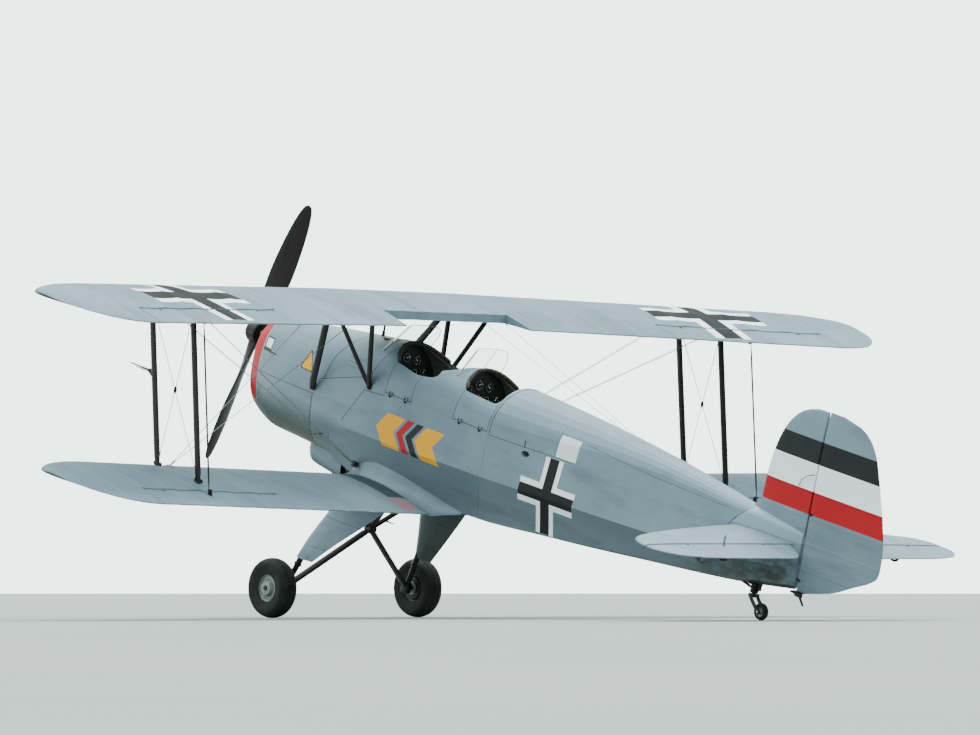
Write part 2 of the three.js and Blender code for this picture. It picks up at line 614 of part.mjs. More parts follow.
// Cabane, interplane struts and main stays
const beyond = (foot, top) => foot.clone().lerp(top, 1.02);
const offWings = (solid, hand) => solid
  .subtract(wingCutters[`upper_${hand}`])
  .subtract(wingCutters[`lower_${hand}`]);
for (const [hand, s] of [['left', 1], ['right', -1]]) {
  const topFront = V(-1373, s * 546, 540);
  const topRear = V(-1822, s * 546, 590);
  const footFront = V(-1059, s * 318, -150);
  const footRear = V(-1660, s * 322, 6);
  const cabane = union([
    rod(footFront, beyond(footFront, topFront), 14, 8, 32),
    rod(footRear, beyond(footRear, topFront), 11, 8, 24),
    rod(footRear, beyond(footRear, topRear), 11, 8, 24),
    rod(footRear.clone().add(V(22, s * -22, 4)), footRear.clone().add(V(-22, s * -22, -4)), 18, 8),
  ]);
  piece(`cabane_${hand}`, cabane.subtract(skinCutter).subtract(centreCutter), COLOURS.dark);

  const upper = (k, y = STRUT_Y) => wingPoint(UPPER, s * y, k, 'mid');
  const lower = (k, y = STRUT_Y) => wingPoint(LOWER, s * y, k, 'mid');
  const acorn = upper(FRONT_SPAR).add(lower(REAR_SPAR)).add(upper(REAR_SPAR)).add(lower(FRONT_SPAR));
  acorn.multiplyScalar(0.25);
  const bay = union([
    rod(lower(FRONT_SPAR), upper(FRONT_SPAR), 12.5, 8, 29),
    rod(lower(REAR_SPAR), upper(REAR_SPAR), 12.5, 8, 29),
    rod(lower(REAR_SPAR).lerp(upper(FRONT_SPAR), 0.05), upper(FRONT_SPAR).lerp(lower(REAR_SPAR), 0.05), 3,
      6),
    rod(lower(FRONT_SPAR).lerp(upper(REAR_SPAR), 0.05), upper(REAR_SPAR).lerp(lower(FRONT_SPAR), 0.05), 3,
      6),
    ball(acorn, 11, 2.2),
  ]);
  piece(`interplane_struts_${hand}`, offWings(bay, hand), COLOURS.dark);

  const anchor = V(-1655, s * 328, -555);
  const flying = union([
    rod(anchor, upper(FRONT_SPAR, WIRE_Y), 4, 6),
    rod(anchor, upper(REAR_SPAR, WIRE_Y), 4, 6),
    rod(V(-1655, s * 268, -561), V(-1655, s * 344, -553), 14, 8),
  ]);
  piece(`flying_wires_${hand}`, offWings(flying.subtract(skinCutter), hand), COLOURS.steel);

  const low = V(-2130, s * WIRE_Y, wingPoint(LOWER, s * WIRE_Y, 0.2, 'mid').z);
  const landing = union([
    rod(low, V(-1385, s * 612, 565), 4, 6),
    rod(low, V(-1830, s * 612, 575), 4, 6),
    rod(low, low.clone().lerp(V(-1607, s * 612, 570), 0.045), 12, 8),
  ]);
  piece(`landing_wires_${hand}`, offWings(landing, hand), COLOURS.steel);

  // push rod from the lower aileron to the upper one
  const hornLow = wingPoint(LOWER, s * LINK_Y, AILERON_HINGE + 0.045, 'up').add(V(0, s * 14, 24));
  const hornTop = wingPoint(UPPER, s * LINK_Y, AILERON_HINGE + 0.045, 'low').add(V(0, s * 14, -24));
  const link = union([
    rod(hornLow, hornTop, 5, 8),
    rod(hornLow.clone().add(V(0, -3.5, 0)), hornLow.clone().add(V(0, 3.5, 0)), 11, 10),
    rod(hornTop.clone().add(V(0, -3.5, 0)), hornTop.clone().add(V(0, 3.5, 0)), 11, 10),
  ]).subtract(rod(hornLow.clone().add(V(0, -20, 0)), hornLow.clone().add(V(0, 20, 0)), 4.8, 8));
  piece(`aileron_link_${hand}`, link, COLOURS.dark);
}

// Tail
const STAB_TIP = [
  { y: 0, le: -5180, half: 30 }, { y: 60, le: -5190, half: 30 }, { y: 1150, le: -5470, half: 24 },
  { y: 1260, le: -5530, half: 20 }, { y: 1330, le: -5620, half: 13 }, { y: 1352, le: -5680, half: 7 },
];
const TAIL_NOSE = 17;
const STAB_REAR = TAIL_HINGE_X + TAIL_NOSE + RUN_GAP;
function stabRing(y, le, half, grow) {
  const chord = le - STAB_REAR;
  const rows = [[0, 0.12], [0.06, 0.6], [0.2, 0.92], [0.45, 1], [1, 0.62]];
  const end = (k) => (k === 0 ? grow : k === rows.length - 1 ? -grow : 0);
  const up = rows.map(([f, h], k) => V(le - f * chord + end(k), y, TAIL_Z + h * half + grow));
  const down = rows.map(([f, h], k) => V(le - f * chord + end(k), y, TAIL_Z - h * half - grow));
  return [...up, ...down.reverse()];
}
function stabiliser(grow) {
  const right = [...STAB_TIP].reverse().slice(0, -1).map(({ y, le, half }) => stabRing(-y, le, half, grow));
  const left = STAB_TIP.map(({ y, le, half }) => stabRing(y, le, half, grow));
  return loft([...right, ...left]);
}
let tailplane = stabiliser(0);
const stabCutter = stabiliser(SEAT_GAP);

const ELEVATOR = [
  { y: 84, te: -5790, nose: 17 }, { y: 300, te: -6020, nose: 17 }, { y: 950, te: -6015, nose: 15 },
  { y: 1180, te: -5975, nose: 13 }, { y: 1300, te: -5900, nose: 10 },
  { y: TAIL_HALF_SPAN - 2, te: -5810, nose: 6 },
];
for (const [hand, s] of [['left', 1], ['right', -1]]) {
  let elevator = loft(ELEVATOR.map(({ y, te, nose }) => {
    const arc = [90, 60, 30, 0, -30, -60,
      -90].map((deg) => V(TAIL_HINGE_X + nose * Math.cos(rad(deg)), s * y,
      TAIL_Z + nose * Math.sin(rad(deg))));
    return [V(te, s * y, TAIL_Z + 3), ...arc, V(te, s * y, TAIL_Z - 3)];
  }));
  for (const y of [330, 1000]) {
    [tailplane, elevator] = hinge(tailplane, elevator, V(TAIL_HINGE_X, s * y, TAIL_Z), V(0, 1, 0),
      V(1, 0, 0), TAIL_NOSE);
  }
  piece(`elevator_${hand}`, elevator, COLOURS.dope);
  const foot = V(-4987, s * 112, -350);
  const brace = union([
    rod(foot, V(-5300, s * 640, TAIL_Z), 9, 8, 15),
    rod(foot, V(-5690, s * 640, TAIL_Z), 9, 8, 15),
    rod(foot.clone().add(V(0, s * 6, 3)), foot.clone().add(V(0, s * -24, -6)), 16, 8),
  ]);
  piece(`tail_struts_${hand}`, brace.subtract(stabCutter).subtract(skinCutter), COLOURS.dark);
}
piece('tailplane', tailplane, COLOURS.dope);

// fin: height, leading edge; its back face stands just ahead of the rudder's nose
const FIN = [
  { z: 40, le: -5180, half: 20 }, { z: 111, le: -5262, half: 21 }, { z: 177, le: -5325, half: 21 },
  { z: 340, le: -5332, half: 20 }, { z: 520, le: -5360, half: 19 }, { z: 670, le: -5412, half: 17 },
  { z: 795, le: -5510, half: 14 }, { z: 846, le: -5600, half: 11 }, { z: 868, le: -5690, half: 8 },
];
const FIN_REAR = RUDDER_HINGE_X + RUDDER_NOSE + RUN_GAP;
let fin = loft(FIN.map(({ z, le, half }) => {
  const chord = le - FIN_REAR;
  const rows = [[0, 0.12], [0.08, 0.6], [0.3, 0.95], [0.55, 1], [1, 0.95]];
  const left = rows.map(([f, h]) => V(le - f * chord, h * half, z));
  return [...left, ...rows.map(([f, h]) => V(le - f * chord, -h * half, z)).reverse()];
})).subtract(skinCutter);

let rear = fuselage(COCKPIT_REAR - SEAT_GAP, STERNPOST_X).subtract(stabCutter);

// rudder: height, trailing edge, half thickness at the hinge
const RUDDER = [
  { z: 872, te: -5930, nose: 8 }, { z: 839, te: -6100, nose: 11 }, { z: 773, te: -6210, nose: 14 },
  { z: 677, te: -6280, nose: 17 }, { z: 518, te: -6350, nose: 19 }, { z: 345, te: -6420, nose: 20 },
  { z: 190, te: -6470, nose: 20 }, { z: 60, te: -6492, nose: 20 }, { z: -50, te: -6486, nose: 20 },
  { z: -100, te: -6430, nose: 20 }, { z: -167, te: -6290, nose: 19 }, { z: -252, te: -6120, nose: 18 },
  { z: -318, te: -5890, nose: 15 },
];
let rudder = loft(RUDDER.map(({ z, te, nose }) => {
  const arc = [90, 60, 30, 0, -30, -60, -90].map((deg) => V(RUDDER_HINGE_X + nose * Math.cos(rad(deg)),
    nose * Math.sin(rad(deg)), z));
  return [V(te, 4, z), ...arc, V(te, -4, z)];
}));
const rudderAxis = V(0, 0, 1);
[fin, rudder] = hinge(fin, rudder, V(RUDDER_HINGE_X, 0, 640), rudderAxis, V(1, 0, 0), RUDDER_NOSE);
[fin, rudder] = hinge(fin, rudder, V(RUDDER_HINGE_X, 0, 190), rudderAxis, V(1, 0, 0), RUDDER_NOSE);
[rear, rudder] = hinge(rear, rudder, V(RUDDER_HINGE_X, 0, -250), rudderAxis, V(1, 0, 0), RUDDER_NOSE);
piece('rear_fuselage', rear, COLOURS.dope);
piece('fin', fin, COLOURS.dope);
piece('rudder', rudder, COLOURS.dope);

// Landing gear
const apex = V(-1580, 0, -1040);
const knuckle = (s, grow) => box(
  [WHEEL.x - 38 - grow, (s > 0 ? 535 : -585) - grow, WHEEL.z - 34 - grow],
  [WHEEL.x + 34 + grow, (s > 0 ? 585 : -535) + grow, WHEEL.z + 44 + grow],
);
const legTube = (s, grow) => rod(V(-1545, s * 528, -1200), V(WHEEL.x - 2, s * 562, WHEEL.z), 24 + grow, 12);
const gearFrame = union([
  ...[-1, 1].flatMap((s) => [
    rod(apex, V(-1370, s * 150, -630), 13, 8, 20),
    rod(apex, V(-1935, s * 150, -690), 13, 8, 20),
    rod(apex, V(WHEEL.x - 4, s * 560, WHEEL.z + 12), 18, 10, 30),
  ]),
  rod(apex.clone().add(V(-30, 0, 0)), apex.clone().add(V(30, 0, 0)), 34, 10),
]);
const lowerCentreCutter = loft([-LOWER.rootY,
  LOWER.rootY].map((y) => sectionRing(y, LOWER.leX, LOWER.leZ, WING_CHORD, SEAT_GAP)));
const gearClear = [skinCutter, lowerCentreCutter,
  ...[-1, 1].flatMap((s) => [knuckle(s, SEAT_GAP), legTube(s, 2 * SEAT_GAP)])];
piece('gear_frame', gearClear.reduce((a, b) => a.subtract(b), gearFrame), COLOURS.dark);

for (const [hand, s] of [['left', 1], ['right', -1]]) {
  // fairing: streamlined sections from the wing root down the leg
  const FAIRING = [
    { z: -662, y: 330, front: -1665, rear: -2238, half: 34 },
    { z: -900, y: 420, front: -1600, rear: -2010, half: 34 },
    { z: -1120, y: 505, front: -1530, rear: -1790, half: 31 },
    { z: -1265, y: 548, front: -1492, rear: -1655, half: 27 },
  ];
  const fairing = loft(FAIRING.map(({ z, y, front, rear: back, half }) => {
    const rows = [[0, 0.1], [0.05, 0.6], [0.2, 1], [0.5, 0.9], [1, 0.08]];
    const at = ([f, h], d) => V(lerp(front, back, f), s * (y + d * h * half), z);
    return [...rows.map((row) => at(row, 1)), ...rows.map((row) => at(row, -1)).reverse()];
  }));
  const leg = union([
    fairing,
    legTube(s, 0),
    knuckle(s, 0),
    rod(V(WHEEL.x, s * 560, WHEEL.z), V(WHEEL.x, s * (WHEEL.y + 70), WHEEL.z), AXLE_R, 20),
  ]);
  const trimmed = leg.subtract(lowerCentreCutter).subtract(wingCutters[`lower_${hand}`]).subtract(skinCutter);
  piece(`gear_leg_${hand}`, trimmed, COLOURS.metal);

  const centre = V(WHEEL.x, s * WHEEL.y, WHEEL.z);
  const w = WHEEL.width / 2;
  const tyre = lathe([
    [112, -w * 0.62], [150, -w * 0.96], [180, -w * 0.95], [203, -w * 0.55], [WHEEL.radius, 0],
    [203, w * 0.55], [180, w * 0.95], [150, w * 0.96], [112, w * 0.62], [112, -w * 0.62],
  ], centre, 30);
  piece(`tyre_${hand}`, tyre, COLOURS.tyre);
  const bore = (AXLE_R + 0.5) / Math.cos(Math.PI / 30);
  const hub = lathe([
    [bore, -w * 0.85], [48, -w * 0.85], [62, -w * 0.5], [111, -w * 0.6],
    [111, w * 0.6], [62, w * 0.5], [48, w * 0.85], [bore, w * 0.85], [bore, -w * 0.85],
  ], centre, 30);
  piece(`hub_${hand}`, hub, COLOURS.steel);
}

// tail wheel: fixed socket, steering fork, wheel
const socket = union([
  rod(V(SWIVEL_X, 0, -340), V(SWIVEL_X, 0, -440), 30, 16, 42),
]).subtract(skinCutter).subtract(rod(V(SWIVEL_X, 0, -300), V(SWIVEL_X, 0, -460), 13.4, 16));
piece('tail_leg', socket, COLOURS.dark);
const FORK_TOP = -445;
const arms = [-1, 1].map((s) => loft([-5, 5].map((d) => [
  V(SWIVEL_X + 24, s * 31 + d, FORK_TOP - 2), V(SWIVEL_X - 30, s * 31 + d, FORK_TOP - 2),
  V(TAIL_WHEEL.x - 14, s * 31 + d, TAIL_WHEEL.z + 12), V(TAIL_WHEEL.x - 14, s * 31 + d, TAIL_WHEEL.z - 14),
  V(TAIL_WHEEL.x + 12, s * 31 + d, TAIL_WHEEL.z - 14), V(SWIVEL_X + 14, s * 31 + d, FORK_TOP - 36),
])));
const fork = union([
  rod(V(SWIVEL_X, 0, -400), V(SWIVEL_X, 0, FORK_TOP - 10), 12.6, 16),
  box([SWIVEL_X - 30, -36, FORK_TOP - 22], [SWIVEL_X + 24, 36, FORK_TOP]),
  ...arms,
  rod(V(TAIL_WHEEL.x, -34, TAIL_WHEEL.z), V(TAIL_WHEEL.x, 34, TAIL_WHEEL.z), 8, 16),
]);
piece('tail_fork', fork, COLOURS.dark);
const t = TAIL_WHEEL.width / 2;
const tailBore = 8.5 / Math.cos(Math.PI / 24);
piece('tail_wheel', lathe([
  [tailBore, -t * 0.9], [36, -t], [48, -t * 0.85], [TAIL_WHEEL.radius, -t * 0.3],
  [TAIL_WHEEL.radius, t * 0.3], [48, t * 0.85], [36, t], [tailBore, t * 0.9], [tailBore, -t * 0.9],
], V(TAIL_WHEEL.x, 0, TAIL_WHEEL.z), 24), COLOURS.tyre);

// Propeller
// blade: distance from the shaft, chord, thickness, pitch angle
const BLADE = [
  { r: 60, chord: 96, thick: 84, pitch: 62 }, { r: 150, chord: 120, thick: 62, pitch: 54 },
  { r: 300, chord: 158, thick: 40, pitch: 41 }, { r: 480, chord: 172, thick: 28, pitch: 31 },
  { r: 660, chord: 160, thick: 21, pitch: 24 }, { r: 820, chord: 130, thick: 15, pitch: 20 },
  { r: 920, chord: 92, thick: 11, pitch: 17 }, { r: 968, chord: 52, thick: 8, pitch: 16 },
  { r: PROP_RADIUS, chord: 18, thick: 6, pitch: 16 },
];
const blades = [0, 180].map((turn) => {
  const tilt = rad(PROP_LEAN_DEG + turn);
  const outward = V(0, -Math.sin(tilt), Math.cos(tilt));
  const sideways = V(0, Math.cos(tilt), Math.sin(tilt));
  return loft(BLADE.map(({ r, chord, thick, pitch }) => {
    const flat = sideways.clone().multiplyScalar(Math.cos(rad(pitch))).add(V(Math.sin(rad(pitch)), 0, 0));
    const normal = V(0, 0, 0).crossVectors(flat.normalize(), outward).normalize();
    const outline = [[0.5, 0], [0.3, 0.4], [0, 0.5], [-0.3, 0.3], [-0.5, 0], [-0.2, -0.35], [0.2, -0.45]];
    return outline.map(([c, h]) => outward.clone().multiplyScalar(r).addScaledVector(flat,
      c * chord).addScaledVector(normal, h * thick));
  }));
});
const shaftHole = rod(V(-200, 0, 0), V(0, 0, 0), 24.3 / Math.cos(Math.PI / 16), 16);
const boss = rod(V(-52, 0, 0), V(46, 0, 0), 84, 24);
piece('propeller', union([boss, ...blades]).subtract(shaftHole), COLOURS.wood);
const cap = toSolid(new THREE.LatheGeometry([[0, 46.4], [76, 46.4], [76, 56], [58, 68], [40, 84], [22, 96],
  [0, 96]]
  .map((p) => new THREE.Vector2(...p)), 24).rotateZ(-Math.PI / 2));
piece('prop_hub_plate', cap, COLOURS.steel);

// Standing on its wheels
const parked = new THREE.Group();
parked.add(airframe);
airframe.rotation.y = -rad(PARKED_PITCH_DEG);
parked.updateMatrixWorld(true);
const bounds = new THREE.Box3().setFromObject(parked, true);
const middle = bounds.getCenter(V(0, 0, 0));
airframe.position.set(-middle.x, -middle.y, -bounds.min.z);

export default parked;
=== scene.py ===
"""Looks of the training biplane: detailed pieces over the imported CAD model, and their finishes.

New pieces are drawn in the level airframe frame of the CAD source, in millimetres: x forward from
the propeller hub, y to the left, z up. LEVEL stands that frame on its wheels.
"""
import json
import math

import bmesh
import bpy
import numpy as np
from mathutils import Matrix, Vector


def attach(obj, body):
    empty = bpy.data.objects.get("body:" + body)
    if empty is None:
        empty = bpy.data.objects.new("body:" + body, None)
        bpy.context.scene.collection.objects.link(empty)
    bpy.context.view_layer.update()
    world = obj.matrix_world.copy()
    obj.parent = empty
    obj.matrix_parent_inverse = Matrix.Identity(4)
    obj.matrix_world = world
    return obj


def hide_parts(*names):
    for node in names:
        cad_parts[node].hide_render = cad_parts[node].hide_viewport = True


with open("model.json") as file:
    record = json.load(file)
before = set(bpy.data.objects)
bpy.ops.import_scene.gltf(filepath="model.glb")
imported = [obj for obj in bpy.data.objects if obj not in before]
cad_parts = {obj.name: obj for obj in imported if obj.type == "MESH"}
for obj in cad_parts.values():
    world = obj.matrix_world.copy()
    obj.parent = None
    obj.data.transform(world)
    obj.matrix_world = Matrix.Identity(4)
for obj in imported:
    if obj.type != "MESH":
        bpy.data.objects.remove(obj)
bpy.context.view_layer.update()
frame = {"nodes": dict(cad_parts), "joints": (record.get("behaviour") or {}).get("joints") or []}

MM = 0.001
SPIN = next(joint for joint in frame["joints"] if joint["name"] == "propeller_spin")
FORWARD = Vector(SPIN["axis"]).normalized()
LEFT = Vector((0, 1, 0))
LEVEL = Matrix((FORWARD, LEFT, FORWARD.cross(LEFT))).transposed().to_4x4()
LEVEL.translation = Vector(SPIN["pos_m"])

X_AXIS = np.array([1.0, 0.0, 0.0])
Y_AXIS = np.array([0.0, 1.0, 0.0])
Z_AXIS = np.array([0.0, 0.0, 1.0])
SIDES = (("left", 1), ("right", -1))


class Table:
    """Rows of measurements with named columns, read between rows along a smooth curve."""

    def __init__(self, names, rows):
        data = np.array(sorted(rows), float)
        self.at = data[:, 0]
        self.columns = {name: data[:, k] for k, name in enumerate(names.split())}
        self.slopes = {name: self._slopes(values) for name, values in self.columns.items()}

    def _slopes(self, values):
        step = np.diff(self.at)
        rate = np.diff(values) / step
        slopes = np.concatenate(([rate[0]], np.zeros(len(rate) - 1), [rate[-1]]))
        for k in range(1, len(rate)):
            if rate[k - 1] * rate[k] > 0:
                ahead = 2 * step[k] + step[k - 1]
                behind = step[k] + 2 * step[k - 1]
                slopes[k] = (ahead + behind) / (ahead / rate[k - 1] + behind / rate[k])
        return slopes

    def read(self, name, x):
        x = min(max(x, self.at[0]), self.at[-1])
        k = min(max(int(np.searchsorted(self.at, x)) - 1, 0), len(self.at) - 2)
        step = self.at[k + 1] - self.at[k]
        t = (x - self.at[k]) / step
        low, high = self.columns[name][k:k + 2]
        slope_low, slope_high = self.slopes[name][k:k + 2] * step
        return (
            low * (1 + 2 * t) * (1 - t) ** 2
            + slope_low * t * (1 - t) ** 2
            + high * t * t * (3 - 2 * t)
            + slope_high * t * t * (t - 1)
        )


def unit(vector):
    vector = np.asarray(vector, float)
    return vector / np.linalg.norm(vector)


def lerp(a, b, t):
    return a + (b - a) * t


def circle(count):
    """Cosines and sines of even turns round a circle."""
    turn = np.linspace(0, 2 * math.pi, count, endpoint=False)
    return np.cos(turn), np.sin(turn)


def smooth_path(points, pitch, rounds=6):
    """The path resampled at a pitch, its corners eased; its ends stay."""
    points = np.asarray(points, float)
    lengths = np.concatenate(([0], np.cumsum(np.linalg.norm(np.diff(points, axis=0), axis=1))))
    at = np.linspace(0, lengths[-1], max(3, round(lengths[-1] / pitch)))
    path = np.column_stack([np.interp(at, lengths, points[:, k]) for k in range(points.shape[1])])
    for _ in range(rounds):
        path[1:-1] = (path[:-2] + 2 * path[1:-1] + path[2:]) / 4
    return path


def run_at(path, k):
    """The step along a path about one of its points."""
    return path[min(k + 1, len(path) - 1)] - path[max(k - 1, 0)]


def rounded(width, height, radius, steps=4):
    """Outline of a rectangle with round corners, about its middle."""
    outline = []
    for corner, (sx, sy) in enumerate([(1, 1), (-1, 1), (-1, -1), (1, -1)]):
        for k in range(steps + 1):
            turn = math.pi / 2 * (corner + k / steps)
            outline.append([
                sx * (width / 2 - radius) + radius * math.cos(turn),
                sy * (height / 2 - radius) + radius * math.sin(turn),
            ])
    return np.array(outline)


class Shape:
    """Surfaces gathered in level millimetres before they become one mesh."""

    def __init__(self):
        self.points = []
        self.faces = []
        self.paints = []

    def add(self, points, faces, paint):
        start = len(self.points)
        self.points.extend(tuple(point) for point in points)
        self.faces.extend([start + k for k in face] for face in faces)
        self.paints.extend([paint] * len(faces))
        return self

    def loft(self, rings, paint=0, open_ring=False, looped=False):
        """Joins equal rings into a skin, with flat ends unless it is looped or its rings are open."""
        count = len(rings[0])
        rows = len(rings)
        faces = []
        for row in range(rows if looped else rows - 1):
            here, there = row * count, (row + 1) % rows * count
            for k in range(count - 1 if open_ring else count):
                after = (k + 1) % count
                faces.append([here + k, here + after, there + after, there + k])
        if not looped and not open_ring:
            faces.append(list(range(count)))
            faces.append(list(range((rows - 1) * count, rows * count)))
        return self.add(np.concatenate([np.asarray(ring, float) for ring in rings]), faces, paint)

    def tube(self, path, radius, sides, depth=None, facing=X_AXIS, paint=0, teardrop=0.0):
        """A tube along a path; with a depth of its own it is a strut whose chord lies along facing."""
        path = np.asarray(path, float)
        radii = np.broadcast_to(radius, len(path))
        depths = radii if depth is None else np.broadcast_to(depth, len(path))
        cos, sin = circle(sides)
        rings = []
        for k, centre in enumerate(path):
            along = unit(run_at(path, k))
            lead = Z_AXIS if abs(along @ facing) > 0.99 else facing
            chord = unit(lead - along * (along @ lead))
            across = np.cross(chord, along)
            wide = sin * radii[k] * (1 + teardrop * cos)
            rings.append(centre + np.outer(cos * depths[k], chord) + np.outer(wide, across))
        return self.loft(rings, paint)

    def plate(self, outline, origin, u, v, thick, bevel=0.0, paint=0):
        """A flat plate whose outline lies on the axes u and v, half its thickness to each side."""
        outline, origin = np.asarray(outline, float), np.asarray(origin, float)
        inward = outline.mean(0) - outline
        inward /= np.maximum(np.linalg.norm(inward, axis=1, keepdims=True), 1e-9)
        u, v = unit(u), unit(v)
        normal = np.cross(u, v)
        steps = [(-thick / 2, bevel), (bevel - thick / 2, 0), (thick / 2 - bevel, 0), (thick / 2, bevel)]
        rings = []
        for height, inset in steps if bevel else steps[1:3]:
            flat = outline + inward * inset
            rings.append(origin + np.outer(flat[:, 0], u) + np.outer(flat[:, 1], v) + normal * height)
        return self.loft(rings, paint)

    def block(self, low, high, bevel, paint=0):
        """A box on the level axes with broken edges."""
        low, high = np.asarray(low, float), np.asarray(high, float)
        size = high - low
        outline = rounded(size[0], size[1], min(2 * bevel, 0.4 * min(size[0], size[1])), 2)
        return self.plate(outline, (low + high) / 2, X_AXIS, Y_AXIS, size[2], bevel, paint)

    def lathe(self, profile, centre, axis=Y_AXIS, segments=48, paint=0, closed=True):
        """Turns rows of radius and offset round an axis; closed rows make a ring-shaped solid."""
        axis = unit(axis)
        lead = unit(np.cross(axis, X_AXIS if abs(axis[0]) < 0.9 else Y_AXIS))
        side = np.cross(axis, lead)
        profile, centre = np.asarray(profile, float), np.asarray(centre, float)
        rings = []
        for turn in np.linspace(0, 2 * math.pi, segments, endpoint=False):
            out = lead * math.cos(turn) + side * math.sin(turn)
            rings.append(centre + np.outer(profile[:, 0], out) + np.outer(profile[:, 1], axis))
        return self.loft(rings, paint, open_ring=not closed, looped=True)

    def ball(self, centre, radius, axis, stretch, paint=0, segments=12):
        """A round head, its height along its axis a share of its width."""
        rise = np.linspace(-math.pi / 2, math.pi / 2, 9)
        profile = np.column_stack([radius * np.cos(rise), radius * stretch * np.sin(rise)])
        return self.lathe(profile, centre, axis, segments, paint, closed=False)


def added(name, data):
    """A new object in the scene."""
    piece = bpy.data.objects.new(name, data)
    bpy.context.scene.collection.objects.link(piece)
    return piece


def make(name, shape, materials, sharp=30):
    """One object of a shape, its normals facing out and its edges sharp above an angle."""
    mesh = bpy.data.meshes.new(name)
    mesh.from_pydata([[c * MM for c in point] for point in shape.points], [], shape.faces)
    for material in materials:
        mesh.materials.append(material)
    mesh.polygons.foreach_set("material_index", shape.paints)
    grid = bmesh.new()
    grid.from_mesh(mesh)
    bmesh.ops.remove_doubles(grid, verts=grid.verts, dist=1e-6)
    bmesh.ops.dissolve_degenerate(grid, edges=grid.edges, dist=1e-7)
    bmesh.ops.recalc_face_normals(grid, faces=grid.faces)
    grid.to_mesh(mesh)
    grid.free()
    piece = added(name, mesh)
    shade(piece, sharp)
    return piece


def shade(piece, sharp):
    piece.data.shade_smooth()
    piece.data.set_sharp_from_angle(angle=math.radians(sharp))


def settle(piece):
    """Applies a piece's modifiers to its mesh."""
    graph = bpy.context.evaluated_depsgraph_get()
    mesh = bpy.data.meshes.new_from_object(piece.evaluated_get(graph), depsgraph=graph)
    piece.modifiers.clear()
    old = piece.data
    piece.data = mesh
    bpy.data.meshes.remove(old)


def carve(piece, shape, materials=(), operation="DIFFERENCE", sharp=30):
    """Cuts a shape out of a piece, or keeps what they share."""
    cutter = make("cutter", shape, materials)
    carver = piece.modifiers.new("carve", "BOOLEAN")
    carver.operation = operation
    carver.solver = "EXACT"
    carver.material_mode = "TRANSFER" if materials else "INDEX"
    carver.object = cutter
    settle(piece)
    mesh = cutter.data
    bpy.data.objects.remove(cutter)
    bpy.data.meshes.remove(mesh)
    shade(piece, sharp)


def copy_of(piece, name):
    return added(name, piece.data.copy())


def place(piece, body, slot, *nodes):
    """Stands a piece on the level frame, on its body, in place of the CAD nodes that it details."""
    piece.data.transform(LEVEL)
    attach(piece, body)
    if nodes:
        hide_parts(*nodes)
    return piece


def fit(name, shape, materials, sharp, slot, *nodes, body="airframe"):
    """Makes a piece and stands it in place."""
    return place(make(name, shape, materials, sharp), body, slot, *nodes)


def fit_steel(name, shape, *nodes, sharp=40, body="airframe"):
    """A piece of black steel in its place."""
    fit(name, shape, [BLACK_STEEL], sharp, "black_paint", *nodes, body=body)


def mirrored(rows, half):
    """A lathe profile from rows of radius and share of a half width, and its mirror image."""
    return [(r, y * half) for r, y in rows] + [(r, -y * half) for r, y in rows[::-1] if y]


def paint_of(red, green, blue):
    """A screen colour, 0 to 255, as the linear colour that shaders take."""
    def linear(value):
        value /= 255
        return value / 12.92 if value <= 0.04045 else ((value + 0.055) / 1.055) ** 2.4
    return (linear(red), linear(green), linear(blue), 1.0)


# Colours of the paint as they show on a screen, from 0 to 255
SILVER = (88, 104, 116)
SILVER_DARK = (74, 88, 99)
SILVER_LIGHT = (103, 120, 132)
# Painted shade for faces that look down or turn inward
PAINTED_SHADE = (46, 51, 49)
# Grime, also laid as painted shade on faces that look down
GRIME_AND_SHADE = (50, 48, 35)
# Oil, laid mostly as painted shade under the cowl
OIL_AND_SHADE = (34, 40, 32)
SEAM = (24, 30, 34)
BLACK = (18, 20, 23)
WHITE = (206, 212, 214)
RED = (146, 6, 20)
RED_WORN = (164, 36, 50)
WALKWAY = (44, 52, 60)
PALE_PANEL = (118, 136, 150)
PALE_LINE = (150, 160, 166)
YELLOW = (200, 140, 14)
BULKHEAD_GREY = (70, 77, 73)
PANEL_WHITE = (206, 212, 216)

# Specular levels of the paint and of the matt wing fabric
SHINE, MATT = 0.18, 0.05


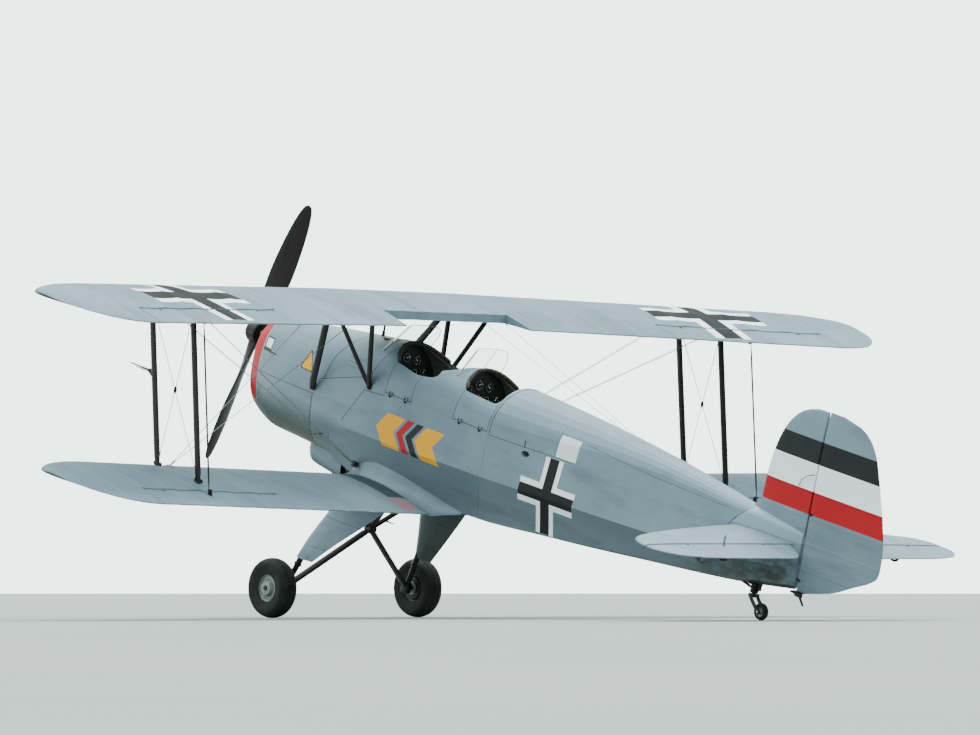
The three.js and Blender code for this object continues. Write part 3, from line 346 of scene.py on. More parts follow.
class Finish:
    """A material: one Principled shader, its colour painted in layers over the level frame."""

    def __init__(self, name, colour, roughness, metallic=0.0):
        self.colour = paint_of(*colour)
        self.material = bpy.data.materials.new(name)
        self.material.use_nodes = True
        self.material.diffuse_color = self.colour
        self.tree = self.material.node_tree
        self.shader = self.tree.nodes["Principled BSDF"]
        self.shader.inputs["Roughness"].default_value = roughness
        self.shader.inputs["Metallic"].default_value = metallic
        self.shader.inputs["Specular IOR Level"].default_value = SHINE
        self.surface = self.tree.nodes.new("ShaderNodeTexCoord")
        level = self.tree.nodes.new("ShaderNodeMapping")
        level.inputs["Location"].default_value = LEVEL.inverted().translation
        level.inputs["Rotation"].default_value = LEVEL.inverted().to_euler()
        self.tree.links.new(self.surface.outputs["Object"], level.inputs["Vector"])
        self.place = level.outputs[0]
        self.height = None
        self.axes = None

    def link(self, value, socket):
        if isinstance(value, bpy.types.NodeSocket):
            self.tree.links.new(value, socket)
        else:
            socket.default_value = value

    def math(self, operation, *values):
        node = self.tree.nodes.new("ShaderNodeMath")
        node.operation = operation
        for value, socket in zip(values, node.inputs):
            self.link(value, socket)
        return node.outputs[0]

    def axis(self, name):
        """The x, y or z coordinate of the surface, in metres."""
        if self.axes is None:
            node = self.tree.nodes.new("ShaderNodeSeparateXYZ")
            self.tree.links.new(self.place, node.inputs[0])
            self.axes = node.outputs
        return self.axes[name.upper()]

    def facing(self, name):
        """How far the surface faces along the level x, y or z."""
        node = self.tree.nodes.new("ShaderNodeVectorMath")
        node.operation = "DOT_PRODUCT"
        node.inputs[1].default_value = LEVEL.col["xyz".index(name)][:3]
        self.tree.links.new(self.surface.outputs["Normal"], node.inputs[0])
        return node.outputs["Value"]

    def ramp(self, value, start, end):
        """0 at start and 1 at end, level beyond them."""
        node = self.tree.nodes.new("ShaderNodeMapRange")
        node.clamp = True
        for key, item in {"Value": value, "From Min": start, "From Max": end}.items():
            self.link(item, node.inputs[key])
        return node.outputs[0]

    def under(self, value, limit, soft=0.001):
        """1 below a limit and 0 above it."""
        return self.ramp(value, limit + soft, limit - soft)

    def inside(self, value, low, high, soft=0.0015):
        """1 between two values and 0 outside them."""
        off = self.math("ABSOLUTE", self.math("SUBTRACT", value, (low + high) / 2))
        return self.under(off, (high - low) / 2, soft)

    def on_left(self):
        """1 on the left side of the aircraft."""
        return self.ramp(self.axis("y"), 0.0, 0.01)

    def turned(self, u, v, cos, sin):
        """Coordinates along and across a line through the origin of u and v."""
        def product(value, share):
            return self.math("MULTIPLY", value, share)
        along = self.math("ADD", product(u, cos), product(v, sin))
        return along, self.math("SUBTRACT", product(u, sin), product(v, cos))

    def along_line(self, start, end):
        """Coordinates along and across a line of the side view, from its start, and its length."""
        (x1, z1), (x2, z2) = start, end
        length = math.hypot(x2 - x1, z2 - z1)
        from_x = self.math("SUBTRACT", self.axis("x"), x1)
        from_z = self.math("SUBTRACT", self.axis("z"), z1)
        return *self.turned(from_x, from_z, (x2 - x1) / length, (z2 - z1) / length), length

    def all_of(self, *masks):
        result = masks[0]
        for mask in masks[1:]:
            result = self.math("MINIMUM", result, mask)
        return result

    def any_of(self, *masks):
        result = masks[0]
        for mask in masks[1:]:
            result = self.math("MAXIMUM", result, mask)
        return result

    def noise(self, scale, detail, stretch=(1, 1, 1), roughness=0.5):
        spread = self.tree.nodes.new("ShaderNodeMapping")
        spread.inputs["Scale"].default_value = stretch
        self.tree.links.new(self.place, spread.inputs["Vector"])
        node = self.tree.nodes.new("ShaderNodeTexNoise")
        node.inputs["Scale"].default_value = scale
        node.inputs["Detail"].default_value = detail
        node.inputs["Roughness"].default_value = roughness
        self.tree.links.new(spread.outputs[0], node.inputs["Vector"])
        return node.outputs["Fac"]

    def cells(self, scale):
        """How far a point lies from the edges of small irregular cells."""
        node = self.tree.nodes.new("ShaderNodeTexVoronoi")
        node.feature = "DISTANCE_TO_EDGE"
        node.inputs["Scale"].default_value = scale
        self.tree.links.new(self.place, node.inputs["Vector"])
        return node.outputs["Distance"]

    def layer(self, mask, colour, share=1.0):
        """Paints a share of a colour over what is there, where the mask is 1."""
        node = self.tree.nodes.new("ShaderNodeMix")
        node.data_type = "RGBA"
        self.link(mask if share == 1.0 else self.math("MULTIPLY", mask, share), node.inputs["Factor"])
        self.link(self.colour, node.inputs[6])
        self.link(paint_of(*colour), node.inputs[7])
        self.colour = node.outputs[2]

    def raise_by(self, mask, height):
        """Adds a height in metres to the surface's relief, where the mask is 1."""
        lift = self.math("MULTIPLY", mask, height)
        self.height = lift if self.height is None else self.math("ADD", self.height, lift)

    def rough(self, mask, low, high):
        """Spreads the roughness between two values by a mask."""
        node = self.tree.nodes.new("ShaderNodeMapRange")
        for key, item in {"Value": mask, "To Min": low, "To Max": high}.items():
            self.link(item, node.inputs[key])
        self.tree.links.new(node.outputs[0], self.shader.inputs["Roughness"])

    def done(self):
        self.link(self.colour, self.shader.inputs["Base Color"])
        if self.height is not None:
            bump = self.tree.nodes.new("ShaderNodeBump")
            bump.inputs["Distance"].default_value = 1.0
            bump.inputs["Strength"].default_value = 1.0
            self.tree.links.new(self.height, bump.inputs["Height"])
            self.tree.links.new(bump.outputs[0], self.shader.inputs["Normal"])
        return self.material


def weathered(name, roughness, metallic, weave=0.00004):
    """Old silver-grey paint: clouded, streaked by the wind, with a fine grain."""
    finish = Finish(name, SILVER, roughness, metallic)
    finish.layer(finish.ramp(finish.noise(1.3, 4, roughness=0.6), 0.35, 0.75), SILVER_LIGHT)
    finish.layer(finish.ramp(finish.noise(5.0, 5, (0.25, 1.4, 1.4), 0.65), 0.52, 0.85), SILVER_DARK)
    finish.layer(finish.ramp(finish.noise(38.0, 4, (0.6, 1, 1), 0.7), 0.64, 0.8), GRIME_AND_SHADE, 0.35)
    finish.raise_by(finish.noise(900.0, 1), weave)
    finish.raise_by(finish.noise(2.2, 2), 0.0012)
    finish.rough(finish.noise(6.0, 3), roughness - 0.1, roughness + 0.14)
    return finish


def shade_and_grime_below(finish, amount):
    """Painted shade on the faces that look down, and patchy oil and dust, partly painted shade, on those that
    look down most.
    """
    # Painted shade: slate paint on the faces that turn down.
    finish.layer(finish.ramp(finish.facing("z"), -0.06, -0.32), PAINTED_SHADE, 0.5)
    # Patchy oil and dust on the faces that look down most, partly painted shade.
    down = finish.ramp(finish.facing("z"), -0.35, -0.95)
    patchy = finish.ramp(finish.noise(3.0, 4, (0.3, 1, 1)), 0.15, 0.7)
    finish.layer(finish.all_of(down, patchy), GRIME_AND_SHADE, amount)
    return finish


def tapes(finish, coordinate, start, pitch, width=0.013, strength=0.4):
    """Ribs' stitched tapes under the dope, one at each pitch."""
    away = finish.math("PINGPONG", finish.math("SUBTRACT", coordinate, start), pitch / 2)
    tape = finish.under(away, width, 0.002)
    finish.layer(tape, SILVER_LIGHT, strength)
    finish.raise_by(tape, 0.0008)
    line = finish.ramp(away, 0.0035, 0.0015)
    stitch = finish.ramp(finish.math("PINGPONG", finish.axis("x"), 0.03), 0.008, 0.004)
    finish.raise_by(finish.all_of(line, stitch), 0.0006)


def straight_cross(finish, across, along, half, arm, edge, where=None):
    """A plain black cross with white lines beside its arms, on two coordinates from its middle."""
    across = finish.math("ABSOLUTE", across)
    along = finish.math("ABSOLUTE", along)
    for width, colour in ((edge, WHITE), (arm, BLACK)):
        upright = finish.all_of(finish.under(across, width), finish.under(along, half))
        level = finish.all_of(finish.under(along, width), finish.under(across, half))
        arms = finish.any_of(upright, level)
        finish.layer(arms if where is None else finish.all_of(arms, where), colour)


def plain(name, colour, worn, roughness, metallic=0.0, grain=30.0, relief=0.0001, wear=0.25):
    """Paint, metal or rubber with a worn tone over it and a fine relief."""
    finish = Finish(name, colour, roughness, metallic)
    finish.layer(finish.ramp(finish.noise(grain, 4, roughness=0.65), 0.45, 0.8), worn, wear)
    finish.raise_by(finish.noise(grain * 6, 2), relief)
    finish.rough(finish.noise(grain * 0.5, 2), roughness - 0.08, roughness + 0.12)
    return finish.done()


# Fuselage sections, in the level frame
COWL = Table("x half top bottom power", [
    (-150, 140, 104, -480, 2.3), (-250, 165, 142, -537, 2.3), (-460, 218, 188, -592, 2.4),
    (-750, 264, 230, -598, 2.5), (-1056, 294, 266, -606, 2.7), (-1600, 322, 328, -690, 2.7),
])
BODY = Table("x crown deck_z deck_y arch mid_z mid_y low_z low_y keel", [
    (-1056, 266, -20, 288, 2.0, -320, 303, -560, 240, -610),
    (-1600, 328, -20, 315, 2.0, -335, 330, -640, 270, -690),
    (-1690, 335, -18, 316, 2.1, -334, 330, -638, 270, -688),
    (-2070, 225, -10, 318, 3.4, -328, 332, -630, 269, -680),
    (-2200, 262, -8, 317, 2.8, -324, 331, -626, 268, -675),
    (-2450, 332, -4, 315, 2.1, -315, 330, -618, 266, -667),
    (-2947, 313, 0, 310, 2.0, -305, 325, -605, 260, -648),
    (-3600, 286, 42, 248, 2.0, -290, 290, -550, 228, -592),
    (-4370, 230, 90, 170, 2.0, -272, 240, -465, 182, -508),
    (-5245, 126, 64, 95, 2.0, -240, 142, -372, 98, -406),
    (-5780, 62, 36, 24, 2.0, -180, 34, -292, 24, -316),
])
OVAL_ANGLES = (0, 14, 28, 42, 56, 70, 84, 92, 104, 120, 138, 160, 180)
ARCH_PANELS = 6
PANEL_STEPS = 4
ARCH_END = ARCH_PANELS * PANEL_STEPS
COCKPIT_FRONT, COCKPIT_REAR, STERNPOST = -1056, -2947, -5780
OVAL_END = -1600
SEAT_GAP = 0.4
WALL = 22
SKIN_CREASE, FABRIC_CREASE = 12, 9
COWL_SKIN = 8
LIP_DEPTH = 27
FABRIC_SAG = 3.0
RIVET_RADIUS = 0.0028


def oval_half(x, inset):
    """The cowl's round section at a station, from the crown down the left side to the keel."""
    half = COWL.read("half", x) - inset
    top = COWL.read("top", x) - inset
    bottom = COWL.read("bottom", x) + inset
    square = 2 / COWL.read("power", x)
    steps = len(OVAL_ANGLES) - 1
    even = np.arange(0, steps + 1e-6, 1 / PANEL_STEPS)
    turns = np.radians(np.interp(even, range(steps + 1), OVAL_ANGLES))
    cos = np.cos(turns)
    return np.column_stack([
        half * np.abs(np.sin(turns)) ** square,
        (top + bottom) / 2 + (top - bottom) / 2 * np.sign(cos) * np.abs(cos) ** square,
    ])


def crown_half(deck, rise, squareness, fabric):
    """The deck's arch from its crown to its edge, flattened between its stringers by a share."""
    def arch(degrees):
        turn = np.radians(degrees)
        height = np.abs(np.cos(turn)) ** squareness * (turn < math.pi / 2 - 1e-6)
        return np.column_stack([deck[0] * np.sin(turn) ** squareness, deck[1] + rise * height])

    fine = np.linspace(0, 90, ARCH_END + 1)
    bends = np.linspace(0, 90, ARCH_PANELS + 1)
    stringers = arch(bends)
    flat = np.column_stack([np.interp(fine, bends, stringers[:, k]) for k in (0, 1)])
    return lerp(arch(fine), flat, fabric)


def panelled_half(x, inset, fabric):
    """The section of deck, sides and belly at a station; fabric sinks between its stringers."""
    deck = np.array([BODY.read("deck_y", x) - inset, BODY.read("deck_z", x)])
    rise = BODY.read("crown", x) - inset - deck[1]
    mid = np.array([BODY.read("mid_y", x) - inset, BODY.read("mid_z", x)])
    low = np.array([BODY.read("low_y", x) - inset, BODY.read("low_z", x) + inset * 0.5])
    keel = np.array([0.0, BODY.read("keel", x) + inset])
    share = np.linspace(0, 1, 2 * PANEL_STEPS + 1)[1:, None]
    sides = [lerp(start, end, share) for start, end in ((deck, mid), (mid, low), (low, keel))]
    half = np.concatenate([crown_half(deck, rise, 2 / BODY.read("arch", x), fabric), *sides])
    if fabric:
        across = np.arange(len(half), dtype=float)
        panel = np.where(across <= ARCH_END, across, (across - ARCH_END) / 2) / PANEL_STEPS % 1
        hollow = panel * (1 - panel) * 4 * FABRIC_SAG * fabric
        outward = half - np.array([0.0, (deck[1] + low[1]) / 2])
        half = half - outward / np.linalg.norm(outward, axis=1, keepdims=True) * hollow[:, None]
    return half


def fuselage_ring(x, inset=0.0, fabric=0.0):
    """The section at a station, from the crown down the left side, under the keel and back up."""
    round_share = np.clip((x - OVAL_END) / (COCKPIT_FRONT - OVAL_END), 0, 1)
    half = lerp(panelled_half(x, inset, fabric), oval_half(x, inset), round_share)
    half[0, 0] = half[-1, 0] = 0.0
    left = np.column_stack([np.full(len(half), x), half])
    return np.concatenate([left, left[-2:0:-1] * (1, -1, 1)])


def stations(front, rear, pitch):
    """Stations from front to rear with every table row between them."""
    count = max(2, round((front - rear) / pitch) + 1)
    rows = [x for x in (*COWL.at, *BODY.at) if rear < x < front]
    even = [x for x in np.linspace(front, rear, count) if all(abs(x - row) > pitch / 4 for row in rows)]
    return sorted({float(front), float(rear), *even, *rows}, reverse=True)


def fuselage(front, rear, inset=0.0, fabric=0.0, pitch=60):
    return Shape().loft([fuselage_ring(x, inset, fabric) for x in stations(front, rear, pitch)])


def skin_y(x, z):
    """Half width of the fuselage at a height."""
    ring = fuselage_ring(x)
    half = ring[:len(ring) // 2 + 1]
    return float(np.interp(-z, -half[:, 2], half[:, 1]))


def skin_low(x):
    """Height of the keel at a station."""
    return float(fuselage_ring(x)[:, 2].min())


def deck_z(x, y):
    """Height of the deck above a point of the plan."""
    ring = fuselage_ring(x)
    crown = ring[:ARCH_END + 1]
    return float(np.interp(abs(y), crown[:, 1], crown[:, 2]))


def seam(finish, points, width=0.0025):
    """A dark joint line through points of the side view, given as x and z in metres."""
    masks = []
    for start, end in zip(points, points[1:]):
        along, across, length = finish.along_line(start, end)
        masks.append(finish.all_of(
            finish.inside(across, -width, width, 0.001),
            finish.inside(along, -width, length + width, 0.001),
        ))
    mask = finish.any_of(*masks)
    finish.layer(mask, SEAM, 0.85)
    finish.raise_by(mask, -0.0015)


def hoop_seam(finish, x, width, above=None, below=None):
    """A joint line round the whole section at a station."""
    mask = finish.inside(finish.axis("x"), x - width, x + width, 0.001)
    if above is not None:
        mask = finish.all_of(mask, finish.ramp(finish.axis("z"), above, above + 0.01))
    if below is not None:
        mask = finish.all_of(mask, finish.ramp(finish.axis("z"), below, below - 0.01))
    finish.layer(mask, SEAM, 0.8)
    finish.raise_by(mask, -0.0015)


def rivets(finish, points, pitch):
    """A row of small round heads along a straight line of the side view."""
    along, across, length = finish.along_line(*points)
    near = finish.math("PINGPONG", along, pitch / 2)
    squares = [finish.math("MULTIPLY", value, value) for value in (near, across)]
    away = finish.math("SQRT", finish.math("ADD", *squares))
    head = finish.all_of(finish.ramp(away, RIVET_RADIUS, RIVET_RADIUS / 2), finish.inside(along, 0, length))
    finish.layer(head, SEAM, 0.4)
    finish.raise_by(head, 0.0008)


# Colour, worn tone, roughness, metallic, grain, relief and wear of the metals, rubber and small parts
BLACK_STEEL = plain("black_steel", (22, 19, 22), (52, 48, 46), 0.42)
BARE_STEEL = plain("bare_steel", (150, 154, 156), (90, 88, 84), 0.32, 0.85, 40)
WIRE_STEEL = plain("wire_steel", (132, 136, 138), (84, 84, 84), 0.4, 0.7, 60)
CAST_METAL = plain("cast_metal", (96, 100, 102), (58, 56, 52), 0.55, 0.6, 25, 0.0004, 0.5)
FIN_METAL = plain("fin_metal", (58, 60, 62), (32, 32, 32), 0.6, 0.5, 30, 0.0002, 0.6)
SEAT_METAL = plain("seat_metal", (112, 120, 112), (70, 74, 68), 0.45, 0.4, 24)
HUB_METAL = plain("hub_metal", (112, 121, 118), (62, 66, 62), 0.45, 0.5, 24, 0.0002, 0.65)
STRUT_GREY = plain("grey_enamel", (66, 72, 76), (44, 48, 50), 0.45)
INSIDE = plain("cockpit_inside", (84, 92, 88), (48, 52, 50), 0.6, 0.0, 14, 0.0003, 0.6)
RUBBER = plain("tyre_rubber_worn", (24, 25, 27), (64, 61, 55), 0.82, 0.0, 18, 0.0002, 0.35)
PANEL_BLACK = plain("panel_black", (26, 27, 29), (58, 58, 58), 0.5, 0.0, 60)
DIAL_BLACK = plain("dial_black", (18, 18, 20), (40, 40, 42), 0.3, 0.0, 80)
DIAL_WHITE = plain("dial_white", (214, 216, 206), (180, 178, 160), 0.5, 0.0, 80)
KNOB_RED = plain("knob_red", RED, RED_WORN, 0.35, 0.0, 40)


def silver_skin(name):
    return weathered(name, roughness=0.42, metallic=0.25, weave=0.00001)


def fabric_finish(name):
    return weathered(name, roughness=0.55, metallic=0.12)


FILLET_PAINT = silver_skin("fairing_paint").done()

# Marks on the fuselage, in metres of the side view
COWL_RED_END = -0.28
COWL_JOINTS = [(-0.250, -0.212), (-1.056, -0.196)]
COWL_RIVETS = (([(-0.27, -0.226), (-1.05, -0.21)], 0.06), ([(-1.04, 0.2), (-1.04, -0.55)], 0.07))
# x and z, from and to, of the blank plate's dark frame, the plate and the bar below it
NOSE_PLATE = (
    ((-0.415, -0.300), (-0.045, 0.045), SEAM),
    ((-0.402, -0.313), (-0.032, 0.034), WHITE),
    ((-0.50, -0.285), (-0.058, -0.045), SEAM),
)
TRIANGLE = {"x": -0.925, "foot": -0.052, "reach": 0.039, "lean": (0.9, 0.44), "round": 0.03, "tip": 0.00012}
CHEVRONS_AT = (-2.155, -0.236)
# How far ahead of their place each chevron starts and ends
CHEVRONS = ((0.15, 0.34, YELLOW), (0.05, 0.12, RED), (-0.05, 0.02, BLACK), (-0.27, -0.08, YELLOW))
CHEVRON_HALF, CHEVRON_LEAN = 0.1145, 0.85
COCKPIT_SEAMS = (
    ([(-1.125, -0.075), (-1.33, -0.015), (-1.56, 0.046), (-1.64, 0.02)], 0.0025),
    ([(-1.155, -0.06), (-1.2, 0.1), (-1.27, 0.22), (-1.33, 0.3)], 0.004),
    ([(-1.628, 0.03), (-1.674, 0.187), (-1.72, 0.31)], 0.004),
    ([(-1.622, -0.024), (-1.435, -0.296)], 0.0025),
    ([(-1.624, -0.033), (-1.84, -0.018)], 0.0025),
    ([(-1.29, -0.42), (-1.29, -0.62)], 0.0025),
)
COCKPIT_RIVETS = (
    ([(-1.66, -0.06), (-2.93, -0.03)], 0.055),
    ([(-1.08, -0.12), (-1.08, -0.58)], 0.06),
    ([(-1.63, -0.05), (-1.45, -0.31)], 0.05),
)
REAR_SEAMS = (
    ([(-2.96, -0.012), (-3.76, -0.004)], 0.002),
    ([(-5.02, -0.30), (-5.22, 0.02)], 0.003),
    ([(-3.82, 0.142), (-4.46, 0.09), (-5.15, 0.064)], 0.0015),
)
CROSS = {"x": -3.59, "z": -0.279, "half": 0.26, "arm": 0.043, "edge": 0.081}
BLANK_PANEL = ((-3.77, -3.585), (0.0, 0.15))
FIN_FOOT_SLOPE, FIN_FOOT_X = 0.94, -5.211


def left_panel(finish, x_span, z_span):
    """1 inside a rectangle of the left side."""
    x, z = finish.axis("x"), finish.axis("z")
    return finish.all_of(finish.on_left(), finish.inside(x, *x_span), finish.inside(z, *z_span))


def red_enamel(finish, mask=1.0):
    """Worn red enamel where the mask is 1, one pattern on every piece."""
    finish.layer(mask, RED)
    worn = finish.ramp(finish.noise(5.0, 4, roughness=0.65), 0.45, 0.8)
    finish.layer(finish.math("MULTIPLY", worn, mask), RED_WORN, 0.5)
    return finish


def nose_triangle(finish):
    """A blank yellow triangle with round corners and a dark edge."""
    z = finish.axis("z")
    off = finish.math("SUBTRACT", finish.axis("x"), TRIANGLE["x"])
    off = finish.math("SQRT", finish.math("ADD", finish.math("MULTIPLY", off, off), TRIANGLE["tip"]))
    off, up = (finish.math("MULTIPLY", value, share) for value, share in zip((off, z), TRIANGLE["lean"]))
    past_side = finish.math("SUBTRACT", finish.math("ADD", off, up), TRIANGLE["reach"])
    past_foot = finish.math("SUBTRACT", TRIANGLE["foot"], z)
    edge = finish.math("SMOOTH_MAX", past_side, past_foot, TRIANGLE["round"])
    for grow, colour in ((0.008, SEAM), (0.0, YELLOW)):
        finish.layer(finish.all_of(finish.on_left(), finish.under(edge, grow)), colour)


def cowl_finish():
    finish = shade_and_grime_below(silver_skin("cowl_paint"), 0.8)
    seam(finish, COWL_JOINTS)
    for points, pitch in COWL_RIVETS:
        rivets(finish, points, pitch)
    x = finish.axis("x")
    red_enamel(finish, finish.ramp(x, COWL_RED_END - 0.0015, COWL_RED_END + 0.0015))
    finish.layer(finish.inside(x, COWL_RED_END - 0.0065, COWL_RED_END + 0.0005, 0.0008), PALE_LINE)
    hoop_seam(finish, -1.052, 0.0055, below=-0.2)
    # Painted shade, with some oil, darkening the cowl's faces as they turn down.
    finish.layer(finish.ramp(finish.facing("z"), 0.15, -0.7), OIL_AND_SHADE, 0.75)
    for x_span, z_span, colour in NOSE_PLATE:
        finish.layer(left_panel(finish, x_span, z_span), colour)
    nose_triangle(finish)
    return finish.done()


def chevrons(finish):
    """Plain forward chevrons in yellow, red and black, on both sides of the front cockpit."""
    x = finish.math("SUBTRACT", finish.axis("x"), CHEVRONS_AT[0])
    z = finish.math("ABSOLUTE", finish.math("SUBTRACT", finish.axis("z"), CHEVRONS_AT[1]))
    slant = finish.math("ADD", x, finish.math("MULTIPLY", z, CHEVRON_LEAN))
    tall = finish.under(z, CHEVRON_HALF, 0.0015)
    for low, high, colour in CHEVRONS:
        finish.layer(finish.all_of(tall, finish.inside(slant, low, high)), colour)


def cockpit_finish():
    finish = shade_and_grime_below(silver_skin("cockpit_paint"), 0.7)
    for points, width in COCKPIT_SEAMS:
        seam(finish, points, width)
    for points, pitch in COCKPIT_RIVETS:
        rivets(finish, points, pitch)
    chevrons(finish)
    return finish.done()


def rear_fuselage_finish():
    finish = shade_and_grime_below(fabric_finish("fuselage_fabric"), 0.85)
    for points, width in REAR_SEAMS:
        seam(finish, points, width)
    hoop_seam(finish, -2.953, 0.003, above=-0.01)
    hoop_seam(finish, -3.575, 0.0012, above=-0.005)
    x, z = finish.axis("x"), finish.axis("z")
    bulkhead = finish.all_of(finish.ramp(finish.facing("x"), 0.9, 0.95), finish.ramp(x, -2.96, -2.955))
    finish.layer(bulkhead, BULKHEAD_GREY)
    slanted = finish.math("ADD", x, finish.math("MULTIPLY", z, FIN_FOOT_SLOPE))
    behind = finish.ramp(slanted, FIN_FOOT_X + 0.003, FIN_FOOT_X - 0.003)
    finish.layer(finish.all_of(behind, finish.ramp(z, -0.013, -0.009)), PALE_PANEL, 0.8)
    seam(finish, [(-5.20, -0.011), (-5.31, 0.106)], 0.002)
    finish.layer(left_panel(finish, *BLANK_PANEL), PANEL_WHITE, 0.7)
    ahead, above = finish.math("SUBTRACT", x, CROSS["x"]), finish.math("SUBTRACT", z, CROSS["z"])
    straight_cross(finish, ahead, above, CROSS["half"], CROSS["arm"], CROSS["edge"])
    oily = finish.all_of(finish.ramp(x, -4.7, -5.6), finish.ramp(z, -0.05, -0.25))
    patchy = finish.ramp(finish.noise(9.0, 5, (0.6, 1, 1), 0.65), 0.46, 0.62)
    finish.layer(finish.all_of(oily, patchy), GRIME_AND_SHADE, 0.8)
    return finish.done()


# Openings in the deck: plan outline of the left half, front to rear
OPENINGS = {
    "front": [(-1672, 0), (-1700, 110), (-1760, 205), (-1830, 248), (-2200, 248), (-2250, 225), (-2200, 160),
              (-2120, 70), (-2090, 0)],
    "rear": [(-2452, 0), (-2475, 110), (-2520, 205), (-2570, 248), (-2900, 248), (-2925, 225), (-2925, 150),
             (-2925, 70), (-2925, 0)],
}
DOORS = {"front_door": (-1840, -2120), "rear_door": (-2570, -2925)}
DOOR_LOW, DOOR_GAP = 8, 5
HINGE_OUT, HINGE_DOWN = 9, 2
KNUCKLE_RADIUS, PIN_RADIUS, POST_HALF, EAR_HALF, EAR_SHIFT = 6, 3, 6, 5, 14
NOSE_LIP = [(-150, 22), (-152, 14), (-158, 6), (-167, 2), (-178, 0), (-210, 0), (-250, 0)]
NOSE_END = NOSE_LIP[-1][0]
STEP_AT = (-3320, -51)
DECK_FLATNESS = 0.45


def plan_prism(outline, low, high):
    """An upright cutter over an opening's plan, its corners eased as the leather rolls are."""
    half = smooth_path(outline, 12, 3)
    full = [*half, *((x, -y) for x, y in half[-2:0:-1])]
    return Shape().loft([[(x, y, z) for x, y in full] for z in (low, high)])


def side_block(rear, front, low):
    """The space beside the cockpit that a door takes."""
    return Shape().loft([[(x, 200, low), (x, 400, low), (x, 400, 500), (x, 200, 500)] for x in (rear, front)])


def build_nose():
    lip = Shape().loft([fuselage_ring(x, inset) for x, inset in NOSE_LIP])
    ring = make("red_nose_ring", lip, [red_enamel(Finish("red_ring", RED, 0.42, 0.1)).done()])
    carve(ring, Shape().loft([fuselage_ring(x, LIP_DEPTH) for x in (NOSE_LIP[0][0] + 50, NOSE_END - 0.5)]))
    place(ring, "airframe", "red_paint", "nose_ring")
    cowl = make("cowling", fuselage(NOSE_END - SEAT_GAP, COCKPIT_FRONT, pitch=40), [cowl_finish()])
    carve(cowl, fuselage(NOSE_END + 50, COCKPIT_FRONT - 20, COWL_SKIN, pitch=80), [INSIDE])
    place(cowl, "airframe", "cowl_metal", "engine_cowl")


def build_cockpit():
    outside = fuselage(COCKPIT_FRONT - SEAT_GAP, COCKPIT_REAR, pitch=45)
    shell = make("cockpit_skin", outside, [cockpit_finish()], SKIN_CREASE)
    carve(shell, fuselage(COCKPIT_FRONT - 12, COCKPIT_REAR - 60, WALL, pitch=80), [INSIDE], sharp=SKIN_CREASE)
    for outline in OPENINGS.values():
        carve(shell, plan_prism(outline, 60, 600), [INSIDE], sharp=SKIN_CREASE)
    posts = Shape()
    for name, (front, rear) in DOORS.items():
        leaf = copy_of(shell, name + "_flap")
        carve(leaf, side_block(rear, front, DOOR_LOW), operation="INTERSECT", sharp=SKIN_CREASE)
        gap = side_block(rear - DOOR_GAP, front + DOOR_GAP, DOOR_LOW - DOOR_GAP)
        carve(shell, gap, sharp=SKIN_CREASE)
        ears = Shape()
        for share in (0.2, 0.8):
            door_hinge(posts, ears, front, rear, share)
        fit(name + "_hinge_ears", ears, [FILLET_PAINT], 30, "cowl_metal", body=name)
        place(leaf, name, "cowl_metal", name)
    fit("door_hinge_posts", posts, [FILLET_PAINT, BLACK_STEEL], 30, "cowl_metal")
    place(shell, "airframe", "doped_fabric", "cockpit_shell")


def door_hinge(posts, ears, front, rear, share):
    """A post with its pin on the shell, and two ears on the door, at a share of the door's length."""
    middle = (front + rear) / 2
    slope = (skin_y(front, 0) - skin_y(rear, 0)) / (front - rear)
    axis = unit((1, slope, 0))
    x = lerp(front, rear, share)
    y = skin_y(middle, DOOR_LOW) + HINGE_OUT + slope * (x - middle)
    at = np.array([x, y, DOOR_LOW - HINGE_DOWN])
    posts.block((x - POST_HALF, y - 22, at[2] - 20), (x + POST_HALF, y + 4, at[2] - 8), 1.5, 1)
    posts.tube([at - axis * POST_HALF, at + axis * POST_HALF], KNUCKLE_RADIUS, 14, paint=1)
    posts.tube([at - axis * 15, at + axis * 15], PIN_RADIUS, 10, paint=1)
    for shift in (-EAR_SHIFT, EAR_SHIFT):
        ear = x + shift
        ears.block((ear - EAR_HALF, y - 22, at[2] + 8), (ear + EAR_HALF, y + 4, at[2] + 20), 1.5)
        near, far = (at + axis * math.copysign(EAR_SHIFT + half, shift) for half in (-EAR_HALF, EAR_HALF))
        ears.tube([near, far], KNUCKLE_RADIUS, 14)


def build_rear_fuselage():
    """The covered rear fuselage with its sunk step."""
    shape = fuselage(COCKPIT_REAR - SEAT_GAP, STERNPOST, fabric=DECK_FLATNESS, pitch=70)
    body = make("rear_fuselage_skin", shape, [rear_fuselage_finish()], FABRIC_CREASE)
    x, z = STEP_AT
    side = skin_y(x, z)
    pocket = Shape().tube([(x, y, z) for y in (side - 55, side + 40)], 20, 24, 35)
    pocket.plate(rounded(9, 52, 4), (x + 22, side, z + 62), X_AXIS, Z_AXIS, 90)
    carve(body, pocket, [INSIDE], sharp=FABRIC_CREASE)
    place(body, "airframe", "doped_fabric", "rear_fuselage")


# Cockpit fittings
def leather(name, colour, worn):
    """Creased leather: fine cells, a worn sheen on the raised parts and dirt in the folds."""
    finish = Finish(name, colour, 0.55)
    finish.layer(finish.ramp(finish.noise(9.0, 4), 0.45, 0.75), worn, 0.6)
    crease = finish.ramp(finish.cells(260.0), 0.12, 0.0)
    finish.layer(crease, BLACK, 0.5)
    finish.raise_by(crease, -0.0003)
    finish.raise_by(finish.noise(24.0, 3), 0.0016)
    finish.rough(finish.noise(14.0, 2), 0.42, 0.68)
    return finish.done()


